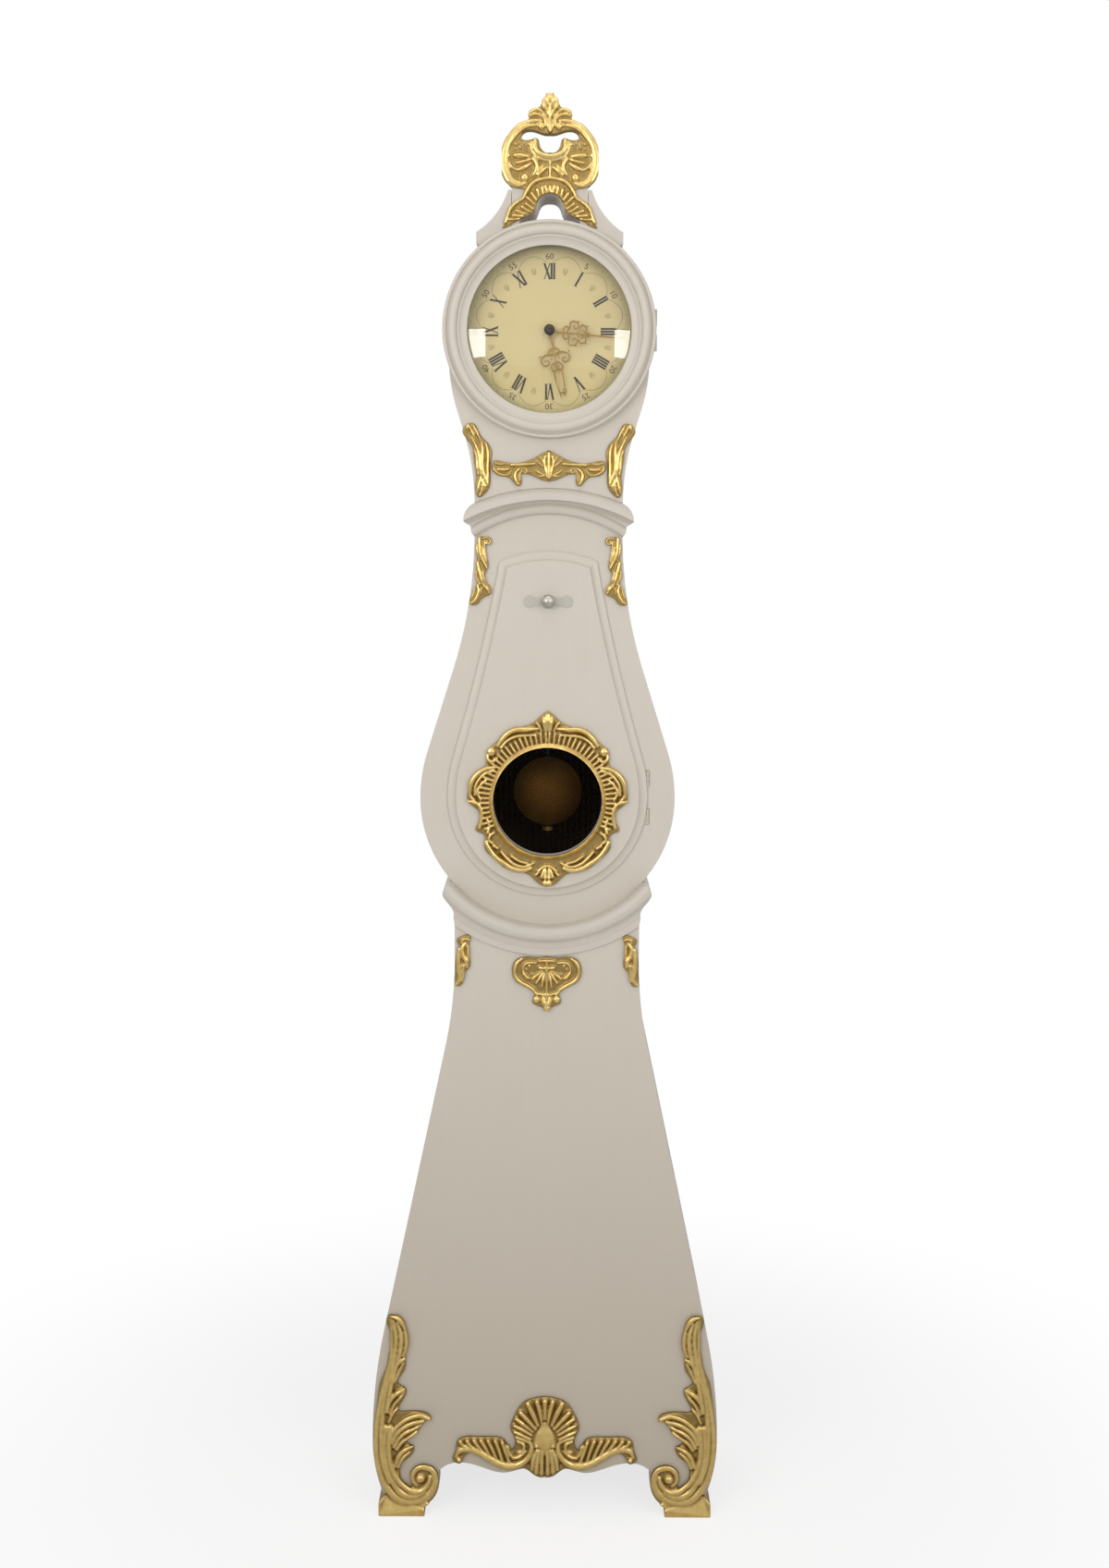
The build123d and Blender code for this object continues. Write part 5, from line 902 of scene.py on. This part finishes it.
viewSettings = {
    "sensor": 36.0, "focalPixels": 2100.0, "imageHeight": 1697.0,
    "place": (0.0116, -3.309, 1.666), "pitch": -7.0, "roll": 0.262,
}


def setCamera():
    data = bpy.data.cameras.new("camera")
    data.sensor_fit, data.sensor_width = "AUTO", viewSettings["sensor"]
    data.lens = viewSettings["focalPixels"] * viewSettings["sensor"] / viewSettings["imageHeight"]
    camera = bpy.data.objects.new("camera", data)
    bpy.context.scene.collection.objects.link(camera)
    pitch = Matrix.Rotation(math.radians(90 + viewSettings["pitch"]), 4, "X")
    roll = Matrix.Rotation(math.radians(viewSettings["roll"]), 4, "Z")
    camera.matrix_world = Matrix.Translation(viewSettings["place"]) @ pitch @ roll
    bpy.context.scene.camera = camera


lamps = {  # place, aim, width and height in metres, watts
    "windowLeft": ((-2.0, -2.6, 2.5), (0, 0, 1.5), (1.6, 2.0), 21),
    "windowRight": ((2.2, -2.4, 2.3), (0, 0, 1.5), (1.4, 2.0), 13),
    "paneLeft": ((-1.54, -3.35, 2.15), (0, 0, 2.0), (0.75, 0.5), 15),
    "paneRight": ((1.54, -3.35, 2.15), (0, 0, 2.0), (0.75, 0.5), 14),
    "ceiling": ((0.0, -1.2, 4.2), (0, 0, 1.8), (2.4, 2.0), 15),
}


worldSettings = {"light": 0.42, "seen": 1.0}


def setLamps():
    for name, (place, aim, (width, height), watts) in lamps.items():
        data = bpy.data.lights.new(name, "AREA")
        data.shape, data.size, data.size_y, data.energy = "RECTANGLE", width, height, watts
        lamp = bpy.data.objects.new(name, data)
        bpy.context.scene.collection.objects.link(lamp)
        lamp.location = place
        lamp.rotation_euler = (Vector(aim) - Vector(place)).to_track_quat("-Z", "Y").to_euler()
    world = bpy.data.worlds.new("studio")
    bpy.context.scene.world = world
    world.use_nodes = True
    tree = world.node_tree
    tree.nodes.clear()
    ray = addNode(tree, "LightPath")
    seen = addNode(tree, "Math", {"operation": "MAXIMUM"},
                   {0: ray.outputs["Is Camera Ray"], 1: ray.outputs["Is Glossy Ray"]})
    seen = addNode(tree, "Math", {"operation": "MAXIMUM"},
                   {0: seen.outputs[0], 1: ray.outputs["Is Transmission Ray"]})
    level = addNode(tree, "MapRange", {"To Min": worldSettings["light"], "To Max": worldSettings["seen"]},
                    {"Value": seen.outputs[0]})
    sky = addNode(tree, "Background", {"Color": (1, 1, 1, 1)}, {"Strength": level.outputs[0]})
    addNode(tree, "OutputWorld", links={"Surface": sky.outputs[0]})


floorSettings = {"size": 30.0, "fadeFrom": 0.5, "fadeTo": 1.6, "nearWhite": 0.75}  # metres, share


def setFloor():
    bm = bmesh.new()
    bmesh.ops.create_grid(bm, x_segments=2, y_segments=2, size=floorSettings["size"])
    mesh = bpy.data.meshes.new("floor")
    bm.to_mesh(mesh)
    bm.free()
    floor = bpy.data.objects.new("floor", mesh)
    bpy.context.scene.collection.objects.link(floor)
    material, tree, shader = newMaterial("paleFloor", {"Base Color": linear("#FFFFFF"), "Roughness": 0.9},
                                         joined=False)
    coords = addNode(tree, "TexCoord").outputs["Object"]
    away = addNode(tree, "VectorMath", {"operation": "LENGTH"}, {0: coords})
    far = addNode(tree, "MapRange", {"interpolation_type": "SMOOTHSTEP",
                                     "From Min": floorSettings["fadeFrom"],
                                     "From Max": floorSettings["fadeTo"],
                                     "To Min": floorSettings["nearWhite"], "To Max": 1.0},
                  {"Value": away.outputs["Value"]})
    ray = addNode(tree, "LightPath").outputs["Is Camera Ray"]
    share = addNode(tree, "Math", {"operation": "MULTIPLY"}, {0: far.outputs[0], 1: ray})
    white = addNode(tree, "Emission", {"Color": (1, 1, 1, 1), "Strength": 1.0})
    both = addNode(tree, "MixShader", links={0: share.outputs[0], 1: shader.outputs[0], 2: white.outputs[0]})
    addNode(tree, "OutputMaterial", links={"Surface": both.outputs[0]})
    mesh.materials.append(material)


print("camera and light")
setCamera()
setLamps()
setFloor()
bpy.context.scene.view_settings.view_transform = "Standard"

print("done")
